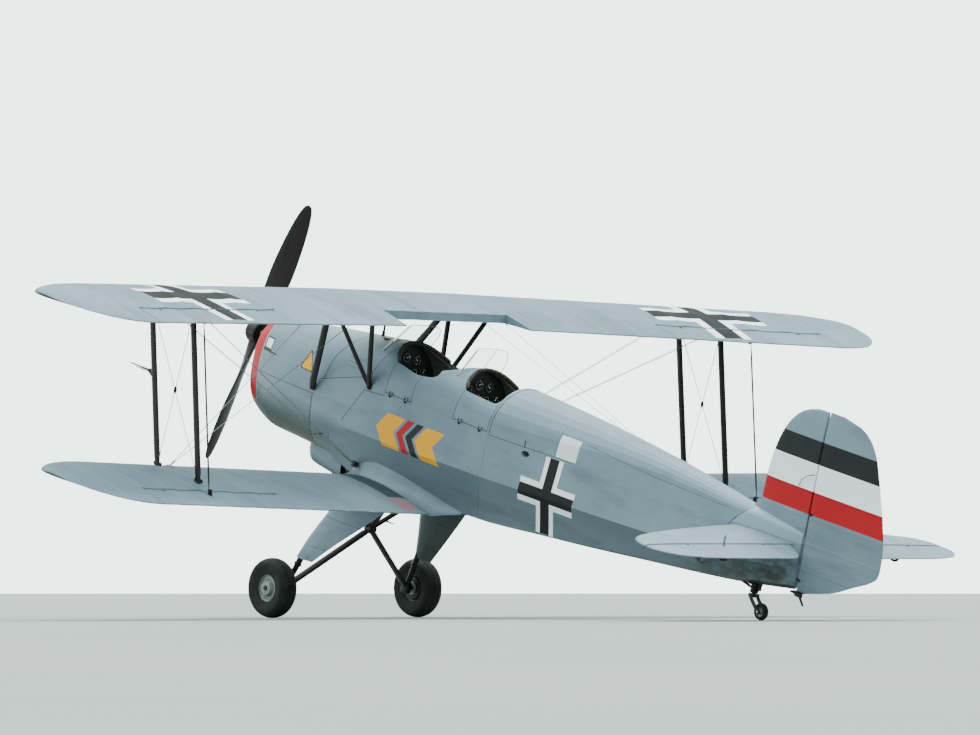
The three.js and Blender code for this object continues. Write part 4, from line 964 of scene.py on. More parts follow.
def webbing(name, colour, dark):
    """Flat woven strap: ribs along it and a weave across."""
    finish = Finish(name, colour, 0.8)
    threads = [finish.math("PINGPONG", finish.axis(along), 0.0012) for along in "xy"]
    weave = finish.all_of(*(finish.ramp(thread, 0.0002, 0.0009) for thread in threads))
    finish.layer(weave, dark, 0.4)
    finish.layer(finish.ramp(finish.noise(30.0, 3), 0.5, 0.8), dark, 0.4)
    finish.raise_by(weave, 0.0004)
    return finish.done()


def boards():
    """Old floor boards laid across the cockpit."""
    finish = Finish("floor_boards", (92, 72, 52), 0.7)
    grain = finish.noise(16.0, 5, (8, 0.5, 1), 0.65)
    finish.layer(finish.ramp(grain, 0.4, 0.7), (58, 46, 36))
    joint = finish.ramp(finish.math("PINGPONG", finish.axis("x"), 0.06), 0.0028, 0.0012)
    finish.layer(joint, (20, 18, 16))
    finish.raise_by(joint, -0.003)
    finish.raise_by(grain, 0.0006)
    return finish.done()


def clear_sheet():
    """Slightly scratched clear acrylic."""
    finish = Finish("clear_sheet", (236, 244, 243), 0.04)
    finish.shader.inputs["Transmission Weight"].default_value = 1.0
    finish.shader.inputs["IOR"].default_value = 1.2
    finish.rough(finish.ramp(finish.noise(70.0, 4, (1, 1, 5)), 0.62, 0.8), 0.03, 0.16)
    return finish.done()


LEATHER_DARK = leather("dark_leather", (27, 23, 22), (58, 47, 40))
LEATHER_TAN = leather("tan_leather", (104, 74, 48), (138, 104, 72))
THREAD = webbing("waxed_thread", (74, 66, 50), (44, 38, 30))
STRAP = webbing("strap_webbing", (122, 118, 92), (78, 76, 58))

RIM_RADIUS, RIM_DEPTH = 13, 13 * 1.2
ROLL_PITCH, LACE_EVERY, LACE_LEAN, THREAD_RADIUS = 8, 4, 0.22, 1.3
FLOOR_Z = -430
FLOOR_TOP = FLOOR_Z + SEAT_GAP
SEATS = {
    "front": {"back": -2275, "lean": 30, "stick": -1860, "pedals": -1570},
    "rear": {"back": -2890, "lean": 20, "stick": -2512, "pedals": -2345},
}
# Distances from the back of a seat, and heights above the floor
SEAT_FRONT, SEAT_MIDDLE, SEAT_LEGS = 288, 178, (78, 238)
PAN_HEIGHT, ARM_HEIGHT, BACK_HEIGHT, SEAT_SKIN = 104, 168, 548, 3
HOLE_ROWS = ((230, 110), (300, 60), (370, 110), (440, 60))
LEAN_FROM, LEAN_OVER, ARM_RUN = 100, 460, 250
SEAT_PAD_HEIGHT, BACK_PAD_AT, BACK_PAD_MIDDLE = 117, 41, 335
SCREENS = {
    "front": {"x": -1577, "z": 333, "height": 128},
    "rear": {"x": -2310, "z": 292, "height": 180},
}
SCREEN_PLAN = [(-105, 185), (-8, 95), (-8, -95), (-105, -185)]
SCREEN_BACK, SCREEN_TAPER, SHEET_HALF = 120, 0.12, 1.4
CORNER_RUN, CORNER_SHARE = 62, 0.45
PANELS = {"front": -1640, "rear": -2430}
PANEL_FOOT = 20
# The cushions' cloth: edge of its cells in metres, pressure inside, and steps of the simulation
VOXEL, PRESSURE, CLOTH_STEPS = 0.006, 4, 20
PEDAL_OUT, PEDAL_HEIGHT = 118, 150
# Dials of a board: y, z, radius and needle
DIALS = (
    (-96, 196, 38, 0.6), (0, 214, 40, -1.2), (96, 196, 38, 2.2), (-168, 108, 33, -0.4), (-84, 104, 36, 1.4),
    (0, 112, 44, 0.0), (84, 104, 36, -2.0), (168, 108, 33, 2.8),
)
STRAP_SECTION = (
    (-0.5, -0.3), (-0.47, -0.5), (0.47, -0.5), (0.5, -0.3),
    (0.5, 0.3), (0.47, 0.5), (-0.47, 0.5), (-0.5, 0.3),
)
# Radius and height of the stick's gaiter and of its grip
GAITER = (
    (0, 0), (36, 0), (36, 4), (33, 8), (30, 12), (32, 16), (27, 22), (28, 27), (22, 33), (23, 38), (15, 46),
    (11.5, 50), (0, 50),
)
GRIP = (
    (0, -4), (12, -4), (14, 0), (15.5, 12), (13.6, 24), (15.8, 36), (13.6, 48), (16, 60), (14.4, 76),
    (15.4, 86), (11, 94), (0, 96),
)


def ribbon(shape, path, across, width, thick):
    """A flat strap along a path, its width near one direction."""
    rings = []
    for k, centre in enumerate(path):
        along = unit(run_at(path, k))
        side = unit(across - along * (along @ across))
        up = np.cross(along, side)
        rings.append([centre + side * width * u + up * thick * v for u, v in STRAP_SECTION])
    shape.loft(rings)


def roll_path(outline):
    """The middle line of a leather roll inside the front half of an opening's edge."""
    half = [np.array(point, float) for point in outline[:4]]
    edge = [point * (1, -1) for point in half[:0:-1]] + half
    inward = [unit((a[1] - b[1], b[0] - a[0])) for a, b in zip(edge, edge[1:])]
    centres = []
    for k, at in enumerate(edge):
        ahead, behind = inward[max(k - 1, 0)], inward[min(k, len(inward) - 1)]
        across = unit(ahead + behind)
        centres.append(at + across * (RIM_RADIUS + SEAT_GAP) / (across @ ahead))
    flat = smooth_path(centres, ROLL_PITCH)
    return np.column_stack([flat, [deck_z(x, y) - 4 for x, y in flat]])


def lace(path, k):
    """Rings of one loop of thread round a roll."""
    along = unit(run_at(path, k))
    side = unit(np.cross(Z_AXIS, along)) * (RIM_RADIUS + SEAT_GAP)
    lean = (unit(np.cross(along, unit(np.cross(Z_AXIS, along)))) + along * LACE_LEAN) * (RIM_DEPTH + SEAT_GAP)
    loop = [path[k] + side * c + lean * s for c, s in zip(*circle(16))]
    cos, sin = circle(6)
    rings = []
    for j, at in enumerate(loop):
        out = unit(at - path[k])
        run = unit(loop[(j + 1) % 16] - loop[j - 1])
        rings.append(at + (np.outer(cos, out) + np.outer(sin, np.cross(out, run))) * THREAD_RADIUS)
    return rings


def build_rims():
    """The laced leather rolls of both openings, puffed between their laces and drawn in at their ends."""
    for name, outline in OPENINGS.items():
        path = roll_path(outline)
        reach = np.arange(len(path)) * float(ROLL_PITCH)
        ends = np.sqrt(np.clip(np.minimum(reach, reach[::-1]) / 14, 0.12, 1))
        puffed = ends * (0.95 + 0.05 * np.abs(np.sin(math.pi * reach / 30)) ** 0.5)
        roll = Shape().tube(path, RIM_RADIUS * puffed, 20, RIM_DEPTH * puffed, facing=Z_AXIS)
        rim = fit(f"{name}_opening_roll", roll, [LEATHER_DARK], 60, "rim_leather", f"{name}_rim")
        lacing = Shape()
        for k in range(3, len(path) - 3, LACE_EVERY):
            lacing.loft(lace(path, k), looped=True)
        fit(f"{name}_roll_lacing", lacing, [THREAD], 60, "rim_leather")


def screen_point(screen, plan, share, offset=(0.0, 0.0)):
    """A point of a sheet over its plan: it leans back and narrows as it rises."""
    x = screen["x"] + plan[0] - SCREEN_BACK * share + offset[0]
    y = plan[1] * (1 - SCREEN_TAPER * share) + offset[1]
    return np.array([x, y, screen["z"] + screen["height"] * share])


def screen_foot(screen, plan):
    """The share of the height at which a sheet stands on the deck."""
    share = 0.0
    for _ in range(12):
        x, y, z = screen_point(screen, plan, share)
        share += (deck_z(x, y) + 1.0 - z) / (screen["height"] + 60)
    return share


def screen_frame(flat, foot_line, top_line):
    """A bead round a sheet and along its folds, with the round heads of its screws."""
    bead = Shape().tube([foot_line[0], *top_line, foot_line[-1]], 2.4, 8)
    bead.tube(foot_line, 3.0, 10, 9.0)
    for _, fold in SCREEN_PLAN[1:3]:
        k = min(range(len(flat)), key=lambda j: abs(flat[j][1] - fold))
        bead.tube([foot_line[k], top_line[k]], 2.2, 8)
    for at in foot_line[1:-1:5]:
        bead.ball(at + (4, 0, 3), 3.2, Z_AXIS, 0.7, segments=8)
    return bead


def build_screens():
    """Clear sheets folded twice, their feet on the deck, with a metal bead round the edge."""
    sheet_paint = clear_sheet()
    flat = smooth_path(SCREEN_PLAN, 11, 2)
    reach = np.concatenate(([0], np.cumsum(np.linalg.norm(np.diff(flat, axis=0), axis=1))))
    corner = np.clip(1 - np.minimum(reach, reach[-1] - reach) / CORNER_RUN, 0, 1)
    tops = lerp(1.0, CORNER_SHARE, corner ** 2.5)
    runs = [run_at(flat, k) for k in range(len(flat))]
    for name, screen in SCREENS.items():
        feet = [screen_foot(screen, plan) for plan in flat]
        rings = []
        for plan, run, foot, top in zip(flat, runs, feet, tops):
            levels = np.linspace(foot, top, 7)
            out = unit((-run[1], run[0])) * SHEET_HALF
            outer = [screen_point(screen, plan, level, out) for level in levels]
            rings.append(outer + [screen_point(screen, plan, level, -out) for level in levels[::-1]])
        sheet = Shape().loft(rings)
        fit(f"{name}_clear_screen", sheet, [sheet_paint], 40, "clear_sheet", f"{name}_windscreen")
        foot_line = [screen_point(screen, plan, foot) + (0, 0, 1) for plan, foot in zip(flat, feet)]
        top_line = [screen_point(screen, plan, top) for plan, top in zip(flat, tops)]
        bead = screen_frame(flat, foot_line, top_line)
        fit(f"{name}_screen_frame", bead, [BARE_STEEL], 45, "cowl_metal")


def points_of(mesh, kind="co"):
    """Places or normals of a mesh's points, one row each."""
    values = np.empty(len(mesh.vertices) * 3)
    mesh.vertices.foreach_get(kind, values)
    return values.reshape(-1, 3)


def move_points(mesh, points):
    mesh.vertices.foreach_set("co", points.ravel())
    mesh.update()


def swell(pad, cap):
    """Swells a cover from inside by a cloth simulation, no point moving past the cap."""
    rest = points_of(pad.data)
    cloth = pad.modifiers.new("swell", "CLOTH")
    cloth.settings.use_pressure = True
    cloth.settings.uniform_pressure_force = PRESSURE
    cloth.settings.effector_weights.gravity = 0
    scene = bpy.context.scene
    for step in range(1, CLOTH_STEPS + 1):
        scene.frame_set(step)
    graph = bpy.context.evaluated_depsgraph_get()
    moved = points_of(pad.evaluated_get(graph).data) - rest
    pad.modifiers.clear()
    scene.frame_set(1)
    far = np.linalg.norm(moved, axis=1, keepdims=True)
    move_points(pad.data, rest + moved * np.minimum(1, cap * MM / np.maximum(far, 1e-9)))


def stuffed(name, shape, cap=9.0):
    """A leather cushion with a swollen cover."""
    pad = make(name, shape, [LEATHER_TAN], 180)
    remesh = pad.modifiers.new("remesh", "REMESH")
    remesh.mode = "VOXEL"
    remesh.voxel_size = VOXEL
    settle(pad)
    swell(pad, cap)
    smooth = pad.modifiers.new("smooth", "SUBSURF")
    smooth.levels = smooth.render_levels = 1
    settle(pad)
    pad.data.shade_smooth()
    return pad


def channel(pad, axis, places, depth, width, above):
    """Draws the cover in along sewn lines across a cushion, at places on one axis, where it faces another."""
    points, outward = points_of(pad.data) / MM, points_of(pad.data, "normal")
    for at in places:
        pull = depth * np.exp(-((points[:, axis] - at) / width) ** 2) * (outward[:, above] > 0.35)
        points -= outward * pull[:, None]
    move_points(pad.data, points * MM)


def bucket_path(back):
    """Plan of a seat's wall from the left front corner round the back, to the right front corner."""
    left = [(back + SEAT_FRONT, 185), (back + 90, 187), (back + 44, 168), (back + 32, 120), (back + 30, 0)]
    return smooth_path(left + [(x, -y) for x, y in left[-2::-1]], 14, 4)


def stand(seat, x, y, height, inset=(0.0, 0.0)):
    """A point of a seat at a height above the floor, leaned back above the pan."""
    back = seat["lean"] * max(0.0, height - LEAN_FROM) / LEAN_OVER
    return (x - back + inset[0], y + inset[1], FLOOR_TOP + height)


def seat_wall(seat):
    """The bucket's pressed wall, low at its arms and high at the back, with a rolled edge."""
    back, path = seat["back"], bucket_path(seat["back"])
    wall, edge = [], []
    for k, (x, y) in enumerate(path):
        run = run_at(path, k)
        inward = unit((run[1], -run[0])) * SEAT_SKIN
        share = np.clip((back + SEAT_FRONT - x) / ARM_RUN, 0, 1)
        top = lerp(ARM_HEIGHT, BACK_HEIGHT, share * share * (3 - 2 * share))
        if x < back + 60:
            top += 10 * (1 - (y / 190) ** 2)
        levels = np.linspace(PAN_HEIGHT, top, 8)
        outer = [stand(seat, x, y, h) for h in levels]
        wall.append(outer + [stand(seat, x, y, h, inward) for h in levels[::-1]])
        edge.append(np.array(stand(seat, x, y, top, inward / 2)))
    return Shape().loft(wall).tube(edge, 5.5, 12)


def seat_pan(tub, back):
    """The bucket's flat pan with its front roll, on four legs with braces."""
    outline = np.array([*bucket_path(back), (back + 325, -150), (back + 325, 150)])
    middle = np.array([back + SEAT_MIDDLE, 0])
    pan, front = FLOOR_TOP + PAN_HEIGHT, back + 322
    behind, ahead = (back + x for x in SEAT_LEGS)
    tub.plate(outline - middle, (*middle, pan + 3), X_AXIS, Y_AXIS, 6, 1)
    tub.tube([(front, -148, pan + 1), (front, 148, pan + 1)], 7, 14)
    for side in (-1, 1):
        for x in (behind, ahead):
            tub.tube([(x, side * 78, FLOOR_TOP + 1), (x, side * 92, pan)], 10, 14, paint=1)
            tub.plate(rounded(48, 40, 8), (x, side * 78, FLOOR_TOP + 3), X_AXIS, Y_AXIS, 5, 1, 1)
        tub.tube([(behind, side * 80, FLOOR_TOP + 20), (ahead, side * 90, FLOOR_TOP + 92)], 6, 10, paint=1)
    tub.tube([(ahead, -82, FLOOR_TOP + 34), (ahead, 82, FLOOR_TOP + 34)], 6, 10, paint=1)


def cushions(who, seat):
    """The tan cushions of the pan and of the back, each with sewn channels."""
    middle = np.array([seat["back"] + SEAT_MIDDLE, 0])
    outline = rounded(268, 322, 40, 5)
    rings = []
    for rise, grow in ((0, 0.86), (10, 0.98), (24, 1.0), (38, 0.97), (46, 0.86)):
        rings.append([(x, y, FLOOR_TOP + SEAT_PAD_HEIGHT + rise) for x, y in middle + outline * grow])
    base = stuffed(f"{who}_seat_cushion", Shape().loft(rings))
    channel(base, 0, middle[0] + (-60, 0, 60), 7.0, 9.0, 2)
    place(base, "airframe", "rim_leather")

    outline = rounded(292, 300, 40, 5)
    rings = []
    for depth, grow in ((0, 0.88), (8, 0.98), (18, 1.0), (28, 0.96), (34, 0.85)):
        x = seat["back"] + BACK_PAD_AT + depth
        rings.append([stand(seat, x, y * grow, BACK_PAD_MIDDLE + z * grow) for y, z in outline])
    rest = stuffed(f"{who}_back_cushion", Shape().loft(rings), 7.0)
    channel(rest, 1, (-72, 0, 72), 5.0, 7.0, 0)
    place(rest, "airframe", "rim_leather")


def build_seats():
    for who, seat in SEATS.items():
        back = seat["back"]
        tub = seat_wall(seat)
        seat_pan(tub, back)
        bucket = make(f"{who}_bucket_seat", tub, [SEAT_METAL, BLACK_STEEL], 35)
        holes = Shape()
        for height, out in HOLE_ROWS:
            for y in (-out, out):
                holes.tube([(x, y, FLOOR_TOP + height) for x in (back - 60, back + 70)], 17, 20)
        carve(bucket, holes, sharp=35)
        place(bucket, "airframe", "seat_metal", f"{who}_seat")
        cushions(who, seat)
        build_belt(who, back)


def build_belt(who, back):
    """A lap belt laid open over the cushion, its buckle in the middle."""
    belt = Shape()
    start = np.array([back, 0, FLOOR_TOP])
    for side in (-1, 1):
        laid = ((96, 176, 128), (104, 168, 172), (128, 140, 184), (160, 92, 181), (182, 30, 181))
        path = smooth_path([start + (x, side * y, z) for x, y, z in laid], 12, 4)
        ribbon(belt, path, np.array([0.92, side * 0.38, 0]), 44, 2.6)
        belt.plate(rounded(40, 34, 8), start + (96, side * 179, 130), X_AXIS, Z_AXIS, 4, 1, 1)
    for y in (22, -24):
        belt.plate(rounded(52, 34, 6), start + (184, y, 184), X_AXIS, Y_AXIS, 3.4, 1, 1)
    belt.tube([start + (160, 4, 187), start + (208, 4, 187)], 4, 10, paint=1)
    fit(f"{who}_lap_belt", belt, [STRAP, BARE_STEEL], 35, "rim_leather")


def build_stick(who, seat):
    foot = np.array([seat["stick"], 0, FLOOR_TOP])
    grip = np.array([seat["stick"] - 40, 0, FLOOR_Z + 400.0])
    stick = Shape().lathe(GAITER, foot, Z_AXIS, 32, 1, closed=False)
    stick.tube([foot + (0, 0, 30), grip], 11, 18)
    stick.lathe(GRIP, grip, unit((-10, 0, 95)), 24, 2, closed=False)
    paints = [BLACK_STEEL, LEATHER_DARK, PANEL_BLACK]
    fit(f"{who}_control_stick", stick, paints, 35, "black_paint", f"{who}_stick")


def build_pedals(who, seat):
    """Two rudder pedals with ribbed faces, their cross tube and the heel plates."""
    pedals = Shape()
    for side in (-1, 1):
        at = np.array([seat["pedals"], side * PEDAL_OUT, FLOOR_TOP])
        face = at + (-10, 0, PEDAL_HEIGHT)
        pedals.tube([at + (0, 0, 2), at + (0, 0, PEDAL_HEIGHT)], 8, 12)
        pedals.plate(rounded(78, 96, 10), face, Y_AXIS, Z_AXIS + X_AXIS * 0.3, 5, 1.5, 1)
        for step in (-26, 0, 26):
            rib = face + (step * 0.3 - 6, 0, step)
            pedals.tube([rib - Y_AXIS * 32, rib + Y_AXIS * 32], 3, 8, paint=1)
        pedals.plate(rounded(230, 84, 16), at + (-150, 0, 3), X_AXIS, Y_AXIS, 2.4, 0.8, 1)
    pedals.tube([(seat["pedals"], y, FLOOR_TOP + 30) for y in (-PEDAL_OUT, PEDAL_OUT)], 9, 14)
    fit(f"{who}_rudder_pedals", pedals, [BLACK_STEEL, SEAT_METAL], 35, "black_paint")


def build_throttles(who, seat):
    """A quadrant on the left wall with a black and a red knob."""
    x = seat["stick"] + 60
    y = skin_y(x, -60) - WALL - 9
    quadrant = Shape().plate(rounded(130, 74, 20), (x, y, -64), X_AXIS, Z_AXIS, 12, 2)
    for shift, tilt, paint in ((-18, 0.25, 1), (20, -0.1, 2)):
        root = np.array([x + shift, y - 8, -80])
        tip = root + (tilt * 110, -10, 104)
        quadrant.tube([root, tip], 3.4, 10, paint=3)
        quadrant.ball(tip, 12, Z_AXIS, 1.0, paint, 16)
    knobs = [PANEL_BLACK, KNOB_RED, DIAL_WHITE, BARE_STEEL]
    fit(f"{who}_throttle_levers", quadrant, knobs, 35, "black_paint")


def build_controls():
    for who, seat in SEATS.items():
        build_stick(who, seat)
        build_pedals(who, seat)
        build_throttles(who, seat)


def dial(shape, at, radius, turn):
    """A round instrument on a panel that faces aft: bezel, face, marks and needle."""
    bezel = ((-4, 2), (-4, -5), (-1, -8), (3, -8), (5, -5), (5, 2))
    shape.lathe([(radius + grow, x) for grow, x in bezel], at, X_AXIS, 36, 1)
    face = [(0, -1.5), (radius - 3, -1.5), (radius - 3, 1), (0, 1)]
    shape.lathe(face, at, X_AXIS, 36, 2, closed=False)

    def line(angle, start, end, rise, thick, sides):
        out = np.array([0, math.sin(angle), math.cos(angle)]) * radius
        shape.tube([at + out * start - X_AXIS * rise, at + out * end - X_AXIS * rise], thick, sides, paint=3)

    for k in range(12):
        line(math.tau * k / 12, 0.66, 0.84, 2, 0.9 if k % 3 else 1.5, 4)
    line(turn, -0.2, 0.7, 3, [1.6, 0.7], 6)
    shape.ball(at - X_AXIS * 3, 3.4, X_AXIS, 0.6, 3, 10)


def build_panels():
    """Instrument boards with round dials, switches and a fuel cock."""
    for who, x in PANELS.items():
        ring = fuselage_ring(x, WALL + SEAT_GAP)
        left = [(y, z) for _, y, z in ring[:len(ring) // 2] if z >= PANEL_FOOT]
        half = left + [(left[-1][0], PANEL_FOOT)]
        outline = np.array(half + [(-y, z) for y, z in half[:0:-1]])
        board = Shape().plate(outline, (x + 7, 0, 0), Y_AXIS, Z_AXIS, 13, 0.8)
        for y, z, radius, turn in DIALS:
            dial(board, np.array([x, y, z], float), radius, turn)
        for k in range(6):
            at = np.array([x, -110 + 26 * k, 44.0])
            board.lathe([(0, -3), (7, -3), (8, 0), (8, 2), (0, 2)], at, X_AXIS, 12, 1, closed=False)
            board.tube([at, at + (-14, 0, 7 if k % 2 else -7)], [2.0, 2.8], 8, paint=1)
        tap = np.array([x - 16, 118, 44])
        board.tube([tap + X_AXIS * 16, tap], 5, 12, paint=1)
        board.plate(rounded(52, 14, 6), tap, Y_AXIS + Z_AXIS * 0.5, Z_AXIS - Y_AXIS * 0.5, 7, 1.5, 4)
        paints = [PANEL_BLACK, BLACK_STEEL, DIAL_BLACK, DIAL_WHITE, KNOB_RED]
        fit(f"{who}_instrument_board", board, paints, 35, "black_paint", f"{who}_panel")


# Wings: leading edge at the root, its height, dihedral, half span, and where the tip's middle lies
SWEEP_DEG = 11.3
CHORD = 1000
WING_RISE = 0.0165
TIP_RUN, TIP_LIFT = 560, 50
UPPER = {"root": 570, "x": -1225, "z": 550, "dihedral": 1.54, "half_span": 3700, "tip_at": 0.35}
LOWER = {"root": 345, "x": -1531, "z": -701, "dihedral": 4.03, "half_span": 3690, "tip_at": 0.39}
WINGS = (("upper", UPPER), ("lower", LOWER))
# The section: upper and lower surface over the root of the share of the chord
SECTION = Table("root up low", [(share ** 0.5, up, low) for share, up, low in (
    (0.0, 0.001, -0.001), (0.012, 0.026, -0.013), (0.05, 0.05, -0.02), (0.13, 0.073, -0.025),
    (0.27, 0.087, -0.027), (0.43, 0.084, -0.025), (0.62, 0.066, -0.018), (0.82, 0.035, -0.009),
    (1.0, 0.004, -0.004),
)])
CHORD_SHARES = np.linspace(0, 1, 22) ** 2
RIB_START, RIB_PITCH, RIB_STEPS = 1760, 272, 8
CENTRE_RIBS = 190
WING_SAG, EDGE_SCALLOP = 6.5, 9.0
HINGE, AILERON_FROM, AILERON_TO = 0.77, 1760, 3120
HORN_AT = HINGE + 0.045
FRONT_SPAR, REAR_SPAR = 0.148, 0.598
CUTOUT = 0.725
RUN_GAP = 7
STRUT_Y, WIRE_Y, LINK_Y = 2425, 2350, 2500
FABRIC_SHARP = 22
# Metres on the wings: the walkway, the red patches (x and y, from and to) and the upper wing's cross
WALK = ((-2.27, -1.6), (0.3, 0.51))
RED_PATCHES = (((-2.5, -2.28), (0.36, 0.53)), ((-2.09, -2.0), (2.2, 2.4)))
WING_CROSS = {"y": 2.36, "back": 0.47, "half": 0.46, "arm": 0.078, "edge": 0.148}
# Root fairings: their upper edge, and where their foot and reach end
FILLET = Table("x top", [
    (-1600, -600), (-1660, -556), (-1760, -512), (-1880, -492), (-2080, -505), (-2300, -535),
    (-2560, -575), (-2770, -605),
])
FILLET_FOOT, FILLET_REACH = (-684, -621), 267


def planform(wing, span):
    """Leading edge x and z, and chord, at a distance out from the middle."""
    out = max(0.0, span - wing["root"])
    tip = max(0.0, (span - (wing["half_span"] - TIP_RUN)) / TIP_RUN)
    full = math.sqrt(max(0.0, 1 - tip * tip))
    x = wing["x"] - math.tan(math.radians(SWEEP_DEG)) * out - wing["tip_at"] * CHORD * (1 - full)
    z = wing["z"] + math.tan(math.radians(wing["dihedral"])) * out + TIP_LIFT * (1 - full)
    return x, z, CHORD * full


def hollow_at(place_along, start, pitch):
    """0 at a rib and 1 midway between two."""
    share = ((place_along - start) / pitch) % 1
    return 4 * share * (1 - share)


def wing_hollow(span):
    return hollow_at(span, RIB_START, RIB_PITCH)


def wing_point(wing, y, fraction, surface, hollow=0.0):
    """A point of the upper, lower or middle surface at a share of the chord."""
    x, z, chord = planform(wing, abs(y))
    root = math.sqrt(fraction)
    up, low = SECTION.read("up", root), SECTION.read("low", root)
    sag = hollow * WING_SAG / CHORD * math.sin(math.pi * min(max((fraction - 0.1) / 0.9, 0.0), 1.0)) ** 0.6
    up, low = up - sag, low + sag * 0.8
    height = {"up": up, "low": low, "mid": (up + low) / 2}[surface]
    chord -= EDGE_SCALLOP * hollow * fraction ** 3
    return np.array([x - fraction * chord, y, z + (height + fraction * WING_RISE) * chord])


def on_wing(wing, side, y, fraction, surface, rise=0.0):
    return wing_point(wing, side * y, fraction, surface) + (0, 0, rise)


def section_ring(wing, y, hollow, until=1.0):
    """The ring round a wing's section, cut off at a share of the chord."""
    fractions = CHORD_SHARES * until
    upper = [wing_point(wing, y, f, "up", hollow) for f in fractions]
    return upper + [wing_point(wing, y, f, "low", hollow) for f in fractions[:0:-1]]


def nosed_ring(wing, y, hollow=0.0):
    """A section ring whose first point lies midway between both surfaces."""
    ring = section_ring(wing, y, hollow)
    ring[0] = (ring[0] + wing_point(wing, y, 0, "low")) / 2
    return ring


def spans_between(start, end):
    """Stations with every rib between start and end, and the hollows between the ribs."""
    first = math.ceil((start - RIB_START) / RIB_PITCH)
    last = math.floor((end - RIB_START) / RIB_PITCH)
    ribs = [RIB_START + RIB_PITCH * k for k in range(first, last + 1)]
    fine = RIB_PITCH / RIB_STEPS
    marks = {start, end}
    marks.update(rib + fine * k for rib in [ribs[0] - RIB_PITCH, *ribs] for k in range(RIB_STEPS))
    return sorted(mark for mark in marks if start <= mark <= end)


def wing_skin(wing, side):
    """One half wing from its root to its round tip."""
    start = wing["root"] + SEAT_GAP
    flat_end = wing["half_span"] - TIP_RUN
    spans = [s for s in spans_between(start, wing["half_span"]) if s < flat_end]
    spans += [flat_end + TIP_RUN * math.sin(turn) for turn in np.linspace(0, 1.5, 20)]
    rings = []
    for span in spans:
        hollow = wing_hollow(span) if span > start + 40 else 0.0
        rings.append(nosed_ring(wing, side * span, hollow * planform(wing, span)[2] / CHORD))
    return Shape().loft(rings)


def add_lugs(shape, places, axis, forward, nose):
    """Hinge lugs that reach back from the fixed part, each to a short pin on the hinge line."""
    reach = nose + RUN_GAP + 12
    for at in places:
        shape.plate(rounded(14, reach, 2, 2), at + forward * reach / 2, axis, forward, 14, 1)
        for half, radius, sides in ((7, 9, 18), (17, 4, 12)):
            shape.tube([at - axis * half, at + axis * half], radius, sides)


def notch(piece, places, axis, forward, nose):
    """Room in a moving surface for its hinge lugs and their pins."""
    rooms, holes = Shape(), Shape()
    for at in places:
        rooms.plate([(-10, -15), (10, -15), (10, 75), (-10, 75)], at, axis, forward, 2 * (nose + 12))
        holes.tube([at - axis * 19, at + axis * 19], 5, 10)
    carve(piece, rooms)
    carve(piece, holes)


def hang(name, body, shape, material, places, axis, forward, nose):
    """A moving surface of fabric, with room for its hinges."""
    surface = make(f"{name}_skin", shape, [material], FABRIC_SHARP)
    notch(surface, places, axis, forward, nose)
    place(surface, body, "doped_fabric", name)


def faded_marks(finish):
    """The dark walkway by the left root, and worn red patches behind it and at the front strut."""
    x, y = finish.axis("x"), finish.axis("y")
    top = finish.all_of(finish.ramp(finish.facing("z"), 0.2, 0.3), finish.ramp(finish.axis("z"), -0.3, -0.4))
    tread = finish.all_of(finish.inside(x, *WALK[0]), finish.inside(y, *WALK[1]), top)
    finish.layer(tread, WALKWAY, 0.88)
    finish.raise_by(finish.math("MULTIPLY", tread, finish.noise(700.0, 2)), 0.0005)
    blotchy = finish.ramp(finish.noise(26.0, 4), 0.35, 0.65)
    for x_span, y_span in RED_PATCHES:
        patch = finish.all_of(finish.inside(x, *x_span, 0.01), finish.inside(y, *y_span, 0.01), top)
        finish.layer(finish.all_of(patch, blotchy), RED_WORN, 0.6)


def wing_cross(finish):
    """The black cross on top of each upper wing, square to its spars."""
    out = finish.math("SUBTRACT", finish.math("ABSOLUTE", finish.axis("y")), WING_CROSS["y"])
    middle_x = planform(UPPER, WING_CROSS["y"] / MM)[0] * MM - WING_CROSS["back"]
    back = finish.math("SUBTRACT", finish.axis("x"), middle_x)
    sweep = math.radians(SWEEP_DEG)
    cos, sin = math.cos(sweep), math.sin(sweep)
    along = finish.math("SUBTRACT", finish.math("MULTIPLY", out, cos), finish.math("MULTIPLY", back, sin))
    across = finish.math("ADD", finish.math("MULTIPLY", out, sin), finish.math("MULTIPLY", back, cos))
    top = finish.ramp(finish.facing("z"), 0.0, 0.1)
    straight_cross(finish, across, along, WING_CROSS["half"], WING_CROSS["arm"], WING_CROSS["edge"], top)


def wing_finish(name, marks):
    finish = weathered(name, roughness=0.62, metallic=0.03)
    finish.shader.inputs["Specular IOR Level"].default_value = MATT
    tapes(finish, finish.math("ABSOLUTE", finish.axis("y")), RIB_START * MM, RIB_PITCH * MM)
    shade_and_grime_below(finish, 0.6)
    marks(finish)
    return finish.done()


def hinge_nose(wing, y):
    """Half the wing's thickness at the ailerons' hinge line."""
    return wing_point(wing, y, HINGE, "up")[2] - wing_point(wing, y, HINGE, "mid")[2]


def aileron_bay(wing, side, nose):
    """The room behind the hinge line that an aileron takes from its wing."""
    bay = []
    for span in (AILERON_FROM - RUN_GAP, AILERON_TO + RUN_GAP):
        x, y, z = wing_point(wing, side * span, HINGE, "mid")
        front, rear = x + nose + RUN_GAP, x - CHORD * 0.4
        bay.append([(front, y, z - 150), (front, y, z + 150), (rear, y, z + 150), (rear, y, z - 150)])
    return Shape().loft(bay)


